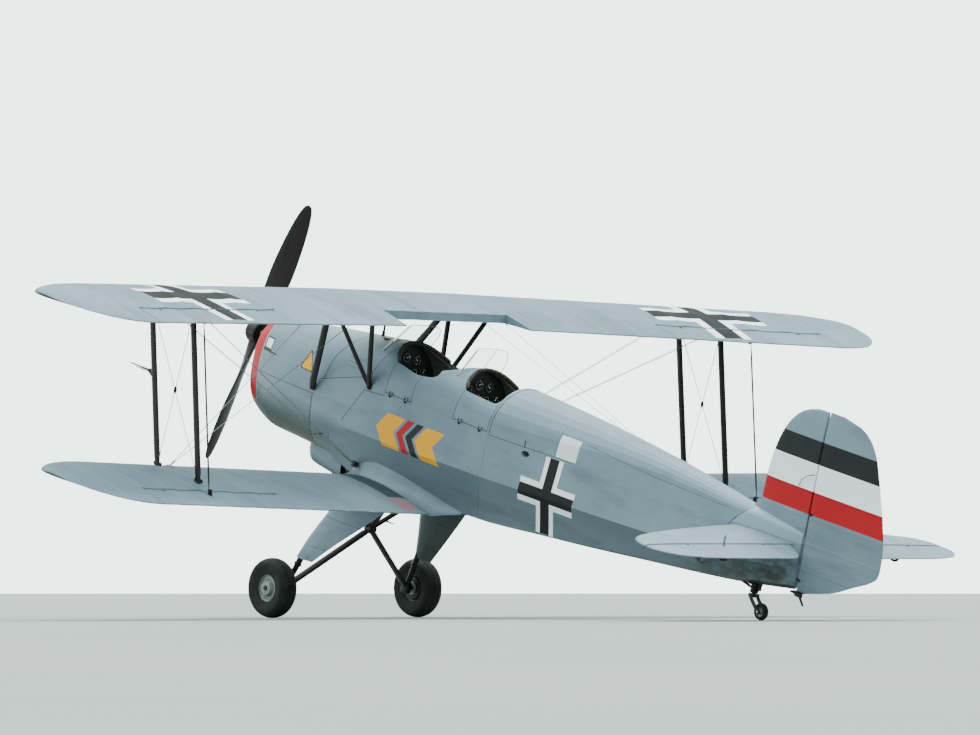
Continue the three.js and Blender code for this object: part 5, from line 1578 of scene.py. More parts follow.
def build_half_wing(level, wing, hand, side, finish):
    nose = hinge_nose(wing, 2400)
    inner, outer = (wing_point(wing, side * span, HINGE, "mid") for span in (AILERON_FROM, AILERON_TO))
    axis = unit(outer - inner)
    places = [lerp(inner, outer, share) for share in (0.14, 0.86)]
    hinging = (places, axis, unit(X_AXIS - axis * axis[0]), nose)
    panel = make(f"{level}_wing_{hand}_skin", wing_skin(wing, side), [finish], FABRIC_SHARP)
    carve(panel, aileron_bay(wing, side, nose), sharp=FABRIC_SHARP)
    place(panel, "airframe", "doped_fabric", f"{level}_wing_{hand}")
    name, lugs = f"{level}_aileron_{hand}", Shape()
    add_lugs(lugs, *hinging)
    fit_steel(f"{level}_wing_{hand}_hinges", lugs, sharp=30)
    hang(name, name, aileron_shape(wing, side), finish, *hinging)
    fit_steel(f"{name}_horn", aileron_horn(level, wing, side), sharp=30, body=name)


def build_wings():
    finishes = {
        "upper": wing_finish("upper_wing_fabric", wing_cross),
        "lower": wing_finish("lower_wing_fabric", faded_marks),
    }
    for level, wing in WINGS:
        for hand, side in SIDES:
            build_half_wing(level, wing, hand, side, finishes[level])
    build_wing_centres(finishes["lower"])
    build_fillets()


def aileron_shape(wing, side):
    """An aileron from its trailing edge over its round nose and back."""
    turns = np.radians(np.linspace(75, -75, 11))
    back = np.linspace(1, HINGE, 8)
    rings = []
    for span in spans_between(AILERON_FROM, AILERON_TO):
        y, hollow = side * span, wing_hollow(span)
        centre, nose = wing_point(wing, y, HINGE, "mid"), hinge_nose(wing, y)
        upper = [wing_point(wing, y, f, "up", hollow) for f in back]
        arc = [centre + nose * np.array([math.cos(t), 0, math.sin(t)]) for t in turns]
        rings.append([*upper, *arc, *(wing_point(wing, y, f, "low", hollow) for f in back[::-1])])
    return Shape().loft(rings)


def aileron_horn(level, wing, side):
    """The lever that the link rod holds, above the lower aileron or below the upper one."""
    surface, toward = ("low", -1) if level == "upper" else ("up", 1)
    foot = wing_point(wing, side * LINK_Y, HORN_AT, surface)
    outline = [(-26, -10), (26, -10), (20, 4), (11, 30), (6, 36), (-6, 36), (-11, 30), (-20, 4)]
    horn = Shape().plate(outline, foot, X_AXIS, Z_AXIS * toward, 7, 1)
    if level == "lower":
        eye = foot + (0, 0, 24)
        horn.tube([eye, eye + (0, side * 21, 0)], 4, 12)
    return horn


def build_wing_centres(finish):
    rings = []
    for y in np.linspace(-UPPER["root"], UPPER["root"], 25):
        rings.append(section_ring(UPPER, y, hollow_at(y, 0, CENTRE_RIBS) * 0.5, CUTOUT))
    centre = Shape().loft(rings)
    fit("upper_wing_centre_skin", centre, [finish], FABRIC_SHARP, "doped_fabric", "upper_wing_centre")
    low = Shape().loft([nosed_ring(LOWER, y) for y in np.linspace(-LOWER["root"], LOWER["root"], 9)])
    fit("lower_wing_centre_skin", low, [finish], FABRIC_SHARP, "doped_fabric", "lower_wing_centre")


def build_fillets():
    """Fairings between the lower wing's roots and the fuselage, that run out along the belly."""
    fairing = Shape()
    wing_end = LOWER["x"] - CHORD
    for side in (-1, 1):
        rings = []
        for x in np.linspace(FILLET.at[-1], FILLET.at[0], 40):
            top = FILLET.read("top", x)
            share = max(0.0, (wing_end - x) / (wing_end - FILLET.at[0]))
            if share:
                foot = lerp(*FILLET_FOOT, share)
            else:
                foot = wing_point(LOWER, LOWER["root"], (LOWER["x"] - x) / CHORD, "up")[2]
            start = np.array([skin_y(x, top) + lerp(5, 1, share), top])
            end = np.array([lerp(LOWER["root"], FILLET_REACH, share), foot + 5])
            corner = np.array([start[0] + 4, lerp(end[1], start[1], 0.25)])
            curve = [
                (1 - t) ** 2 * start + 2 * t * (1 - t) * corner + t * t * end for t in np.linspace(0, 1, 9)
            ]
            low = (end[0], foot - lerp(12, 1, share))
            ring = [(200, lerp(-650, -612, share)), (200, top), *curve, low]
            rings.append([(x, side * y, z) for y, z in ring])
        fairing.loft(rings)
    fit("root_fairings", fairing, [FILLET_PAINT], 25, "cowl_metal")


# Struts, wires and links between the wings
# Feet and tops of the left cabane's front and rear struts
CABANE_FEET = ((-1059, 318, -150), (-1660, 322, 6))
CABANE_TOPS = ((-1373, 546, 540), (-1822, 546, 590))
WIRE_FORK = 70
# How far from its ends a strut narrows, and to what share
STRUT_NECK = ((0, 0.72), (25, 0.8), (60, 1.0))
# Reach and radius of the threaded end of a wire
WIRE_END = ((0, 5.5), (14, 6.5), (20, 4.2), (56, 4.0), (76, 2.6))
FLYING_ANCHOR = (-1655, 328, -555)
LANDING_FOOT, LANDING_HEADS = -2130, ((-1385, 612, 565), (-1830, 612, 575))


def sided(point, side):
    """A point given for the left side, on its own side."""
    x, y, z = point
    return np.array([x, side * y, z], float)


def strut(shape, start, end, half, depth):
    """A streamlined tube with short drawn-in ends."""
    start, end = np.asarray(start, float), np.asarray(end, float)
    length = np.linalg.norm(end - start)
    reach, narrow = np.array(STRUT_NECK).T
    path = [lerp(start, end, share) for share in (*(reach / length), *((length - reach[::-1]) / length))]
    narrow = np.concatenate([narrow, narrow[::-1]])
    shape.tube(path, half * narrow, 20, depth * narrow, teardrop=0.22)


def wire(shape, start, end, half, depth, paint=0):
    """A flat streamlined wire with a threaded round end and a fork at each anchor."""
    along = unit(end - start)
    shape.tube([start + along * WIRE_FORK, end - along * WIRE_FORK], half, 8, depth, paint=paint)
    for at, toward in ((start, along), (end, -along)):
        threaded = [at + toward * reach for reach, _ in WIRE_END]
        shape.tube(threaded, [radius for _, radius in WIRE_END], 10, paint=paint)


def foot_plate(shape, at, width, depth, radius, thick, bevel=1.5, up=Y_AXIS, paint=0):
    """A round-cornered plate on a point, level or, with up along z, upright."""
    shape.plate(rounded(width, depth, radius), at, X_AXIS, up, thick, bevel, paint)


def build_cabane(hand, side):
    """The struts of the upper wing's centre, and their feet on the fuselage."""
    feet = [sided(point, side) for point in CABANE_FEET]
    tops = []
    for foot, top, height in zip(feet, CABANE_TOPS, (UPPER["z"] + 2, UPPER["z"] + 6)):
        tops.append(lerp(foot, sided(top, side), (height - foot[2]) / (top[2] - foot[2])))
    (foot_front, foot_rear), (top_front, top_rear) = feet, tops
    cabane = Shape()
    strut(cabane, foot_front, top_front, 14, 31)
    strut(cabane, foot_rear, top_front, 11, 23)
    strut(cabane, foot_rear, top_rear, 11, 23)
    cabane.ball(foot_rear, 20, Y_AXIS, 0.7)
    cabane.ball(foot_front, 17, Y_AXIS, 0.9)
    foot_plate(cabane, foot_front + (6, side * -20, 6), 46, 60, 12, 5, up=Z_AXIS)
    foot_plate(cabane, foot_rear + (-2, side * -7, 2), 52, 56, 12, 7, up=Z_AXIS)
    for top in tops:
        foot_plate(cabane, top + (-8, 0, 1), 70, 34, 10, 7)
        cabane.ball(top - (0, 0, 6), 14, Y_AXIS, 0.8)
    fit_steel(f"cabane_{hand}_tubes", cabane, f"cabane_{hand}")


def build_interplane(hand, side):
    """Two struts between the wings with crossed wires that meet in an acorn."""
    bay = Shape()
    for fraction in (FRONT_SPAR, REAR_SPAR):
        foot = on_wing(LOWER, side, STRUT_Y, fraction, "up", 2)
        head = on_wing(UPPER, side, STRUT_Y, fraction, "low", -2)
        strut(bay, foot, head, 12.5, 28)
        foot_plate(bay, foot, 64, 30, 8, 5)
        foot_plate(bay, head, 64, 30, 8, 5)
    corners = [
        on_wing(wing, side, STRUT_Y, fraction, surface)
        for wing, surface in ((LOWER, "up"), (UPPER, "low")) for fraction in (FRONT_SPAR, REAR_SPAR)
    ]
    low_front, low_rear, high_front, high_rear = corners
    for start, end in ((low_rear, high_front), (low_front, high_rear)):
        wire(bay, lerp(start, end, 0.02), lerp(start, end, 0.98), 1.7, 3.0, paint=1)
    acorn = [(0, -24), (6, -20), (11, -8), (11, 8), (6, 20), (0, 24)]
    bay.lathe(acorn, sum(corners) / 4, Z_AXIS, 14, closed=False)
    steels = [BLACK_STEEL, WIRE_STEEL]
    fit(f"interplane_{hand}_struts", bay, steels, 40, "black_paint", f"interplane_struts_{hand}")


def build_flying_wires(hand, side):
    anchor = sided(FLYING_ANCHOR, side)
    flying = Shape()
    for fraction in (FRONT_SPAR, REAR_SPAR):
        head = on_wing(UPPER, side, WIRE_Y, fraction, "low", -2)
        for shift in (-7, 7):
            wire(flying, anchor + (shift, 0, 0), head + (shift, 0, 0), 1.5, 2.8)
        foot_plate(flying, head, 44, 24, 6, 4, 1)
    flying.tube([anchor + (0, side * -38, -3), anchor + (0, side * 12, 1)], 13, 16, paint=1)
    foot_plate(flying, anchor + (0, side * -10, -1), 60, 46, 12, 6, up=Z_AXIS, paint=1)
    steels = [WIRE_STEEL, BLACK_STEEL]
    fit(f"flying_wires_{hand}_set", flying, steels, 40, "wire_steel", f"flying_wires_{hand}")


def build_landing_wires(hand, side):
    height = wing_point(LOWER, side * WIRE_Y, 0.2, "up")[2] + 2
    low = np.array([LANDING_FOOT, side * WIRE_Y, height])
    landing = Shape()
    for head in LANDING_HEADS:
        tip = lerp(low, sided(head, side), 0.985)
        tip[2] = min(tip[2], UPPER["z"] - 2)
        wire(landing, low, tip, 1.7, 3.2)
        foot_plate(landing, (tip[0], tip[1], UPPER["z"] + 2), 36, 22, 6, 6, 1)
    foot_plate(landing, low, 52, 30, 8, 6)
    fit(f"landing_wires_{hand}_set", landing, [WIRE_STEEL], 40, "wire_steel", f"landing_wires_{hand}")


def build_link(hand, side):
    """The rod between two ailerons, thin at its ends, with an eye on each pin."""
    low = wing_point(LOWER, side * LINK_Y, HORN_AT, "up") + (0, side * 14, 24)
    top = wing_point(UPPER, side * LINK_Y, HORN_AT, "low") + (0, side * 14, -24)
    length = np.linalg.norm(top - low)
    along = (top - low) / length
    swell = ((9, 3.4), (40, 3.4), (60, 4.6), (110, 6))
    places = [reach for reach, _ in swell] + [length - reach for reach, _ in swell[::-1]]
    radii = [radius for _, radius in swell]
    link = Shape().tube([low + along * place_at for place_at in places], radii + radii[::-1], 14)
    eye = [(4.9, -3.4), (10.4, -3.4), (11, -2), (11, 2), (10.4, 3.4), (4.9, 3.4)]
    link.lathe(eye, low, Y_AXIS, 24)
    link.lathe([(0, -3.4), *eye[1:5], (0, 3.4)], top, Y_AXIS, 24, closed=False)
    name = f"aileron_link_{hand}"
    fit_steel(f"{name}_rod", link, name, sharp=35, body=name)


def build_struts():
    for hand, side in SIDES:
        for build in (build_cabane, build_interplane, build_flying_wires, build_landing_wires, build_link):
            build(hand, side)


# Tail surfaces
TAIL_HINGE, TAIL_Z, TAIL_NOSE = -5740, -45, 17
STAB_REAR = TAIL_HINGE + TAIL_NOSE + RUN_GAP
STAB_HALF_SPAN = 1352
STABILISER = Table("y edge half", [
    (0, -5180, 30), (60, -5190, 30), (1150, -5470, 24), (1260, -5530, 20), (1330, -5620, 13),
    (STAB_HALF_SPAN, -5680, 7),
])
ELEVATOR = Table("y edge nose", [
    (84, -5790, 17), (300, -6020, 17), (950, -6015, 15), (1180, -5975, 13), (1300, -5900, 10),
    (1355, -5810, 6),
])
ELEVATOR_HINGES, RUDDER_HINGES = (330, 1000), (640, 190, -250)
TAIL_PITCH, TAIL_SAG, TAIL_SCALLOP, TAIL_STEPS = 178, 2.2, 4, 6
TAIL_PROFILE = Table("share height", [
    (0, 0.10), (0.02, 0.34), (0.06, 0.6), (0.2, 0.92), (0.45, 1.0), (1, 0.62),
])
FIN = Table("z edge half", [
    (40, -5180, 20), (111, -5262, 21), (177, -5325, 21), (340, -5332, 20), (520, -5360, 19), (670, -5412, 17),
    (795, -5510, 14), (846, -5600, 11), (868, -5690, 8),
])
FIN_PROFILE = Table("share height", [
    (0, 0.10), (0.03, 0.4), (0.08, 0.62), (0.3, 0.95), (0.55, 1.0), (1, 0.95),
])
RUDDER_HINGE, RUDDER_NOSE = -5812, 20
FIN_REAR = RUDDER_HINGE + RUDDER_NOSE + RUN_GAP
RUDDER = Table("z edge nose", [
    (872, -5930, 8), (839, -6100, 11), (773, -6210, 14), (677, -6280, 17), (518, -6350, 19),
    (345, -6420, 20), (190, -6470, 20), (60, -6492, 20), (-50, -6486, 20), (-100, -6430, 20),
    (-167, -6290, 19), (-252, -6120, 18), (-318, -5890, 15),
])
FIN_PITCH, FIN_STEP = 170, 28.3
FIN_STATIONS = sorted({*FIN.at[[0, -1]], *np.arange(85, 868, FIN_STEP), 855.0, 862.0})
RUDDER_STATIONS = sorted({*RUDDER.at[[0, -1]], *np.arange(-290, 860, FIN_STEP), -308.0, 866.0})
FIN_BANDS = ((0.52, 0.67, BLACK), (0.34, 0.52, WHITE), (0.19, 0.34, RED))
BRACE_FOOT, BRACE_HEADS, BRACE_Y = (-4987, 122, -350), (-5300, -5690), 640


def sagged(share, hollow, half, full):
    """How far the cover sinks between two ribs, at a share of the chord."""
    return TAIL_SAG * hollow * math.sin(math.pi * share) ** 0.7 * min(1.0, half / full)


def fixed_profile(profile, edge, rear, half, hollow):
    """Chordwise places and half heights of a tail surface ahead of its hinge."""
    rows = []
    for share in np.linspace(0, 1, 14) ** 1.5:
        height = profile.read("height", share) * half - sagged(share, hollow, half, 20)
        rows.append((lerp(edge, rear, share), height))
    return rows


def moving_profile(hinge, edge, nose, hollow):
    """The round nose and the flat sides of a surface behind its hinge, one side."""
    turns = np.radians(np.linspace(0, 90, 7))
    rows = [(hinge + nose * math.cos(turn), nose * math.sin(turn)) for turn in turns]
    for share in np.linspace(0, 1, 9)[1:]:
        behind = edge + TAIL_SCALLOP * hollow * share ** 3
        height = lerp(nose, 3, share) - sagged(share, hollow, nose, 15)
        rows.append((lerp(hinge, behind, share), height))
    return rows


def flat_ring(rows, y):
    """A level ring across a tailplane or elevator at a distance from the middle."""
    upper = [(x, y, TAIL_Z + height) for x, height in rows]
    return upper + [(x, y, TAIL_Z - height) for x, height in rows[::-1]]


def upright_ring(rows, z):
    """A level ring across the fin or rudder at a height."""
    return [(x, height, z) for x, height in rows] + [(x, -height, z) for x, height in rows[::-1]]


def tail_spans(start, end):
    marks = {start, end, *np.linspace(end - 90, end, 7)}
    marks.update(TAIL_PITCH / TAIL_STEPS * k for k in range(int(end / TAIL_PITCH * TAIL_STEPS) + 1))
    return sorted(mark for mark in marks if start <= mark <= end)


def tail_finish(name):
    finish = fabric_finish(name)
    tapes(finish, finish.math("ABSOLUTE", finish.axis("y")), 0.0, TAIL_PITCH * MM, 0.01)
    return shade_and_grime_below(finish, 0.8).done()


def fin_finish(name):
    """Black, white and red bands across the fin and rudder."""
    finish = fabric_finish(name)
    z = finish.axis("z")
    tapes(finish, z, 0.0, FIN_PITCH * MM, 0.009, 0.15)
    for low, high, colour in FIN_BANDS:
        finish.layer(finish.inside(z, low, high, 0.001), colour)
    return finish.done()


def build_tailplane(paint):
    spans = tail_spans(0, STAB_HALF_SPAN)
    rings = []
    for y in [-s for s in spans[:0:-1]] + spans:
        edge, half = (STABILISER.read(name, abs(y)) for name in ("edge", "half"))
        hollow = hollow_at(abs(y), 0, TAIL_PITCH)
        rings.append(flat_ring(fixed_profile(TAIL_PROFILE, edge, STAB_REAR, half, hollow), y))
    fit("tailplane_skin", Shape().loft(rings), [paint], FABRIC_SHARP, "doped_fabric", "tailplane")


def build_elevator(hand, side, paint, lugs):
    """An elevator on its hinges; adds their lugs for the tailplane."""
    rings = []
    for y in tail_spans(ELEVATOR.at[0], ELEVATOR.at[-1]):
        edge, nose = ELEVATOR.read("edge", y), ELEVATOR.read("nose", y)
        rows = moving_profile(TAIL_HINGE, edge, nose, hollow_at(y, 0, TAIL_PITCH))
        rings.append(flat_ring(rows, side * y))
    places = [np.array([TAIL_HINGE, side * y, TAIL_Z], float) for y in ELEVATOR_HINGES]
    hinging = (places, Y_AXIS, X_AXIS, TAIL_NOSE)
    hang(f"elevator_{hand}", "elevator", Shape().loft(rings), paint, *hinging)
    add_lugs(lugs, *hinging)


def build_tail_struts(hand, side):
    brace = Shape()
    foot = sided(BRACE_FOOT, side)
    for x in BRACE_HEADS:
        strut(brace, foot, (x, side * BRACE_Y, TAIL_Z - 24), 9, 15)
        foot_plate(brace, (x, side * BRACE_Y, TAIL_Z - 26), 44, 24, 6, 5, 1)
    brace.ball(foot, 17, Y_AXIS, 0.7)
    foot_plate(brace, foot - (0, side * 10, 0), 48, 40, 10, 6, up=Z_AXIS)
    fit(f"tail_struts_{hand}_tubes", brace, [STRUT_GREY], 40, "cowl_metal", f"tail_struts_{hand}")


def build_fin():
    rings = []
    for z in FIN_STATIONS:
        hollow = hollow_at(z, 0, FIN_PITCH)
        rows = fixed_profile(FIN_PROFILE, FIN.read("edge", z), FIN_REAR, FIN.read("half", z), hollow)
        rings.append(upright_ring(rows, z))
    fit("fin_skin", Shape().loft(rings), [fin_finish("fin_fabric")], FABRIC_SHARP, "doped_fabric", "fin")


def build_rudder():
    rings = []
    for z in RUDDER_STATIONS:
        edge, nose = RUDDER.read("edge", z), RUDDER.read("nose", z)
        rings.append(upright_ring(moving_profile(RUDDER_HINGE, edge, nose, hollow_at(z, 0, FIN_PITCH)), z))
    places = [np.array([RUDDER_HINGE, 0, z], float) for z in RUDDER_HINGES]
    hinging = (places, Z_AXIS, X_AXIS, RUDDER_NOSE)
    hang("rudder", "rudder", Shape().loft(rings), fin_finish("rudder_fabric"), *hinging)
    lugs = Shape()
    add_lugs(lugs, *hinging)
    fit_steel("rudder_hinges", lugs, sharp=30)


def build_tail():
    paint = tail_finish("tail_fabric")
    build_tailplane(paint)
    lugs = Shape()
    for hand, side in SIDES:
        build_elevator(hand, side, paint, lugs)
        build_tail_struts(hand, side)
    fit_steel("elevator_hinges", lugs, sharp=30)
    build_fin()
    build_rudder()


# Landing gear
WHEEL = {"x": -1433, "y": 672, "z": -1511, "width": 150}
APEX = np.array([-1580, 0, -1040.0])
REAR_BRACE = (-1935, 150, -690)
FAIRING = Table("z y front rear half", [
    (-662, 330, -1665, -2238, 34), (-900, 420, -1600, -2010, 34), (-1120, 505, -1530, -1790, 31),
    (-1265, 548, -1492, -1655, 27),
])
FAIRING_PROFILE = Table("share height", [
    (0, 0.08), (0.02, 0.36), (0.06, 0.62), (0.2, 1.0), (0.45, 0.94), (0.75, 0.5), (1, 0.08),
])
FAIRING_JOINTS = (-1.16, -0.94, -0.76)
HIP = (-1545, 528, -1200)
AXLE_RADIUS = 17.6
# Radius and share of the half width: the tyre's bead, side and grooved tread, the hub's disc and its drum
TYRE = (
    (111.4, -0.665), (95, -0.69), (96.5, -0.75), (112, -0.82), (132, -0.9), (150, -0.96), (166, -0.985),
    (180, -0.95), (193, -0.78), (203, -0.55), (206.5, -0.42), (206.5, -0.36), (203.5, -0.345),
    (203.5, -0.315), (208.5, -0.30), (209.2, -0.17), (205.8, -0.16), (205.8, -0.13), (209.8, -0.12), (210, 0),
)
HUB = (
    (18.6, -0.85), (34, -0.85), (38, -0.82), (46, -0.84), (50, -0.78), (62, -0.5), (88, -0.44), (98, -0.5),
    (104, -0.64), (110.5, -0.66), (111, -0.6),
)
DRUM = ((47, 0.6), (82, 0.55), (87, 0.5), (87, 0.72), (82, 0.8), (50, 0.83), (47, 0.8))


def fairing_finish():
    finish = shade_and_grime_below(silver_skin("leg_fairing_paint"), 0.3)
    # Painted shade on the fairings' faces that turn inward.
    inward = finish.math("MULTIPLY", finish.facing("y"), finish.math("SIGN", finish.axis("y")))
    finish.layer(finish.ramp(inward, -0.2, -0.7), PAINTED_SHADE, 0.55)
    for z in FAIRING_JOINTS:
        line = finish.inside(finish.axis("z"), z - 0.002, z + 0.002, 0.001)
        finish.layer(line, SEAM, 0.5)
        finish.raise_by(line, -0.001)
    low = finish.ramp(finish.axis("z"), -1.0, -1.26)
    splash = finish.ramp(finish.noise(12.0, 5), 0.45, 0.75)
    finish.layer(finish.all_of(low, splash), GRIME_AND_SHADE, 0.5)
    return finish.done()


def build_gear_frame():
    """The tubes that hold both half axles under the belly, with their joint at the apex."""
    tubes = Shape()
    for side in (1, -1):
        strut(tubes, APEX, (-1370, side * 150, -630), 13, 20)
        strut(tubes, APEX, sided(REAR_BRACE, side), 13, 20)
        strut(tubes, APEX, (WHEEL["x"] - 4, side * 545, WHEEL["z"] + 16), 18, 29)
    joint = [(0, -36), (28, -36), (34, -30), (34, 30), (28, 36), (0, 36)]
    tubes.lathe(joint, APEX, X_AXIS, 28, closed=False)
    tubes.plate(rounded(60, 44, 12), APEX + (0, 0, 8), Y_AXIS, Z_AXIS, 46, 3)
    fit_steel("gear_centre_tubes", tubes, "gear_frame")


def build_leg(hand, side, skin):
    """A leg's streamlined fairing, and the sprung tube below it with the axle stub."""
    shares = np.linspace(0, 1, 16) ** 1.4
    rings = []
    for z in np.linspace(FAIRING.at[0], FAIRING.at[-1], 30):
        front, rear, half, y = (FAIRING.read(name, z) for name in ("front", "rear", "half", "y"))
        sides = [(lerp(front, rear, s), FAIRING_PROFILE.read("height", s) * half) for s in shares]
        outer = [(x, side * (y + out), z) for x, out in sides]
        rings.append(outer + [(x, side * (y - out), z) for x, out in sides[::-1]])
    fit(f"leg_fairing_{hand}", Shape().loft(rings), [skin], 30, "cowl_metal", f"gear_leg_{hand}")

    hip, axle = sided(HIP, side), sided((WHEEL["x"] - 2, 562, WHEEL["z"]), side)
    steps = [lerp(hip, axle, share) for share in (0, 0.35, 0.36, 0.4, 0.41, 1)]
    leg = Shape().tube(steps, [22, 22, 27, 27, 20, 20], 24)
    inner, outer = sorted((side * 535, side * 585))
    low, high = (WHEEL["x"] - 38, inner, WHEEL["z"] - 34), (WHEEL["x"] + 34, outer, WHEEL["z"] + 44)
    leg.block(low, high, 6)
    end = WHEEL["y"] + 70
    stub = [(0, 560), (AXLE_RADIUS, 560), (AXLE_RADIUS, end - 2), (16, end), (0, end)]
    leg.lathe(stub, (WHEEL["x"], 0, WHEEL["z"]), Y_AXIS * side, 28, closed=False)
    leg.tube([axle + (24, side * 2, 92), axle + (26, side * 10, 20)], 5, 10)
    fit_steel(f"leg_tube_{hand}", leg)


def build_wheel(hand, side):
    """A tyre with a grooved tread, and its hub with bolts and a brake drum on the inner side."""
    centre = np.array([WHEEL["x"], side * WHEEL["y"], WHEEL["z"]])
    half = WHEEL["width"] / 2
    body = f"{hand}_wheel"
    tyre = Shape().lathe(mirrored(TYRE, half), centre, segments=72)
    fit(f"tyre_{hand}_tread", tyre, [RUBBER], 38, "tyre_rubber", f"tyre_{hand}", body=body)
    hub = Shape().lathe(mirrored(HUB, half), centre, segments=64)
    for cos, sin in zip(*circle(6)):
        at = centre + np.array([cos, 0, sin]) * 74
        for face_side in (-1, 1):
            start = at + Y_AXIS * face_side * 0.46 * half
            hub.tube([start, start + Y_AXIS * face_side * 6], [5.5, 4.5], 6, paint=1)
    hub.lathe([(r, -side * y * half) for r, y in DRUM], centre, segments=48, paint=2)
    metals = [HUB_METAL, BARE_STEEL, BLACK_STEEL]
    fit(f"hub_{hand}_disc", hub, metals, 30, "cowl_metal", f"hub_{hand}", body=body)


def build_gear():
    build_gear_frame()
    skin = fairing_finish()
    for hand, side in SIDES:
        build_leg(hand, side, skin)
        build_wheel(hand, side)


# Engine, its air outlet and the tail wheel
CYLINDERS = (-430, -585, -740, -895)
CYLINDER_TOP, BARREL_FINS, HEAD_FINS = -54, 18, 6
BARREL_RADIUS, FIN_REACH, HEAD_REACH, FIN_START, FIN_EVERY = 56, 76, 82, 14, 9.2
# Crank case: x, half width, bottom and top
CASE = (
    (-332, 56, -40, 48), (-350, 74, -52, 58), (-372, 92, -60, 66), (-960, 92, -60, 66),
    (-985, 84, -56, 60), (-1000, 70, -44, 50),
)
BEARER_Y, BEARER_Z = 125, -45
OUTLET = Table("x half low", [
    (-850, 60, -614), (-880, 82, -690), (-920, 90, -724), (-1100, 90, -750), (-1250, 88, -772),
])
OUTLET_TOP, OUTLET_SKIN, OUTLET_CORNER = -560, 5, 0.35
SWIVEL_X, FORK_TOP, FORK_Y = -5415, -445, 31
TAIL_WHEEL = {"x": -5513, "z": -542, "width": 44}
SLEEVE = (
    (13.6, -438), (27, -438), (30, -434), (30, -426), (26, -422), (26, -408), (31, -404), (31, -398),
    (26, -394), (28, -372), (33, -356), (33, -344), (13.6, -344),
)
TAIL_TYRE = (
    (34, 0.86), (37, 0.96), (44, 0.98), (50, 0.82), (54, 0.6), (56, 0.42), (56, 0.36), (53.5, 0.34),
    (53.5, 0.26), (56.6, 0.24), (57, 0.0),
)
TAIL_DISC = ((8.7, 0.9), (13, 0.9), (15, 0.7), (22, 0.42), (30, 0.46), (33, 0.8), (36, 0.84))


def cylinder(case, x):
    """A finned barrel with its head, rocker cover, push rods, exhaust stub and plug lead."""
    profile = [(0, 0), (54, 0)]
    for k in range(BARREL_FINS + HEAD_FINS):
        depth = FIN_START + FIN_EVERY * k
        reach = FIN_REACH if k < BARREL_FINS else HEAD_REACH
        fin = ((BARREL_RADIUS, 0), (reach, 1.2), (reach, 3.4), (BARREL_RADIUS, 4.6))
        profile += [(radius, depth + step) for radius, step in fin]
    profile += [(60, 240), (60, 262), (0, 262)]
    case.lathe(profile, (x, 0, CYLINDER_TOP), -Z_AXIS, 40, 2, closed=False)
    case.plate(rounded(136, 150, 30, 4), (x, 0, -330), X_AXIS, Y_AXIS, 26, 4)
    case.plate(rounded(118, 128, 26, 4), (x, 0, -372), X_AXIS, Y_AXIS, 62, 12, 3)
    for y in (-24, 24):
        case.tube([(x + 48, y - 60, -60), (x + 44, y - 50, -326)], 8, 12, paint=1)
    case.tube([(x, 70, -318), (x, 92, -320), (x - 16, 101, -334), (x - 40, 101, -350)], 15, 16, paint=1)
    case.tube([(x - 40, 66, -250), (x - 52, 96, -252)], 6, 10, paint=3)


def build_engine():
    """The inverted four-cylinder engine: case, shaft, finned barrels, exhaust pipe and bearers."""
    case = Shape()
    rings = []
    for x, half, low, high in CASE:
        outline = rounded(2 * half, high - low, 24, 4) + (0, (high + low) / 2)
        rings.append([(x, y, z) for y, z in outline])
    case.loft(rings)
    case.tube([(-20, 0, 0), (-60, 0, 0), (-62, 0, 0), (-340, 0, 0)], [24, 24, 23, 23], 28, paint=1)
    case.lathe([(23, 0), (52, 0), (58, 6), (58, 14), (40, 22), (23, 22)], (-350, 0, 0), X_AXIS, 36, paint=1)
    for x in CYLINDERS:
        cylinder(case, x)
    case.tube([(-440, 88, -366), (-600, 88, -372), (-900, 84, -380), (-985, 70, -392)], 17, 18, paint=1)
    for y in (-BEARER_Y, BEARER_Y):
        bearer = [(COCKPIT_FRONT - 1, y, BEARER_Z), (-930, y, BEARER_Z), (-900, y * 0.72, -42)]
        case.tube(bearer, 16, 14, paint=3)
        case.plate(rounded(60, 56, 8), (COCKPIT_FRONT + 3, y, BEARER_Z), Y_AXIS, Z_AXIS, 5, 1, 3)
    case.block((-830, -104, -6), (-720, -70, 60), 5, 3)
    case.block((-660, 70, -10), (-560, 104, 54), 5, 3)
    paints = [CAST_METAL, BARE_STEEL, FIN_METAL, BLACK_STEEL]
    fit("inverted_engine", case, paints, 35, "engine_metal", "engine_block")


def outlet_ring(x, skin=0.0):
    """The outlet's section at a station, a flat-bottomed bow under the cowl."""
    half, low = OUTLET.read("half", x) - skin, OUTLET.read("low", x) + skin
    ring = []
    for turn in np.radians(np.linspace(0, 180, 25)):
        cos, sin = math.cos(turn), math.sin(turn)
        out = half * np.sign(cos) * abs(cos) ** OUTLET_CORNER
        ring.append((x, out, OUTLET_TOP - (OUTLET_TOP - low) * sin ** OUTLET_CORNER))
    return ring


def build_outlet():
    """The air outlet under the cowl, open at the back."""
    outer = Shape().loft([outlet_ring(x) for x in np.linspace(-850, -1250, 22)])
    paint = shade_and_grime_below(silver_skin("outlet_paint"), 0.8).done()
    hood = make("cowl_air_outlet", outer, [paint, INSIDE])
    mouth = Shape().loft([outlet_ring(x, OUTLET_SKIN) for x in np.linspace(-1040, -1252, 8)])
    for cutter in (mouth, fuselage(-840, -1262, -SEAT_GAP)):
        carve(hood, cutter, [INSIDE])
    place(hood, "airframe", "cowl_metal", "air_outlet")


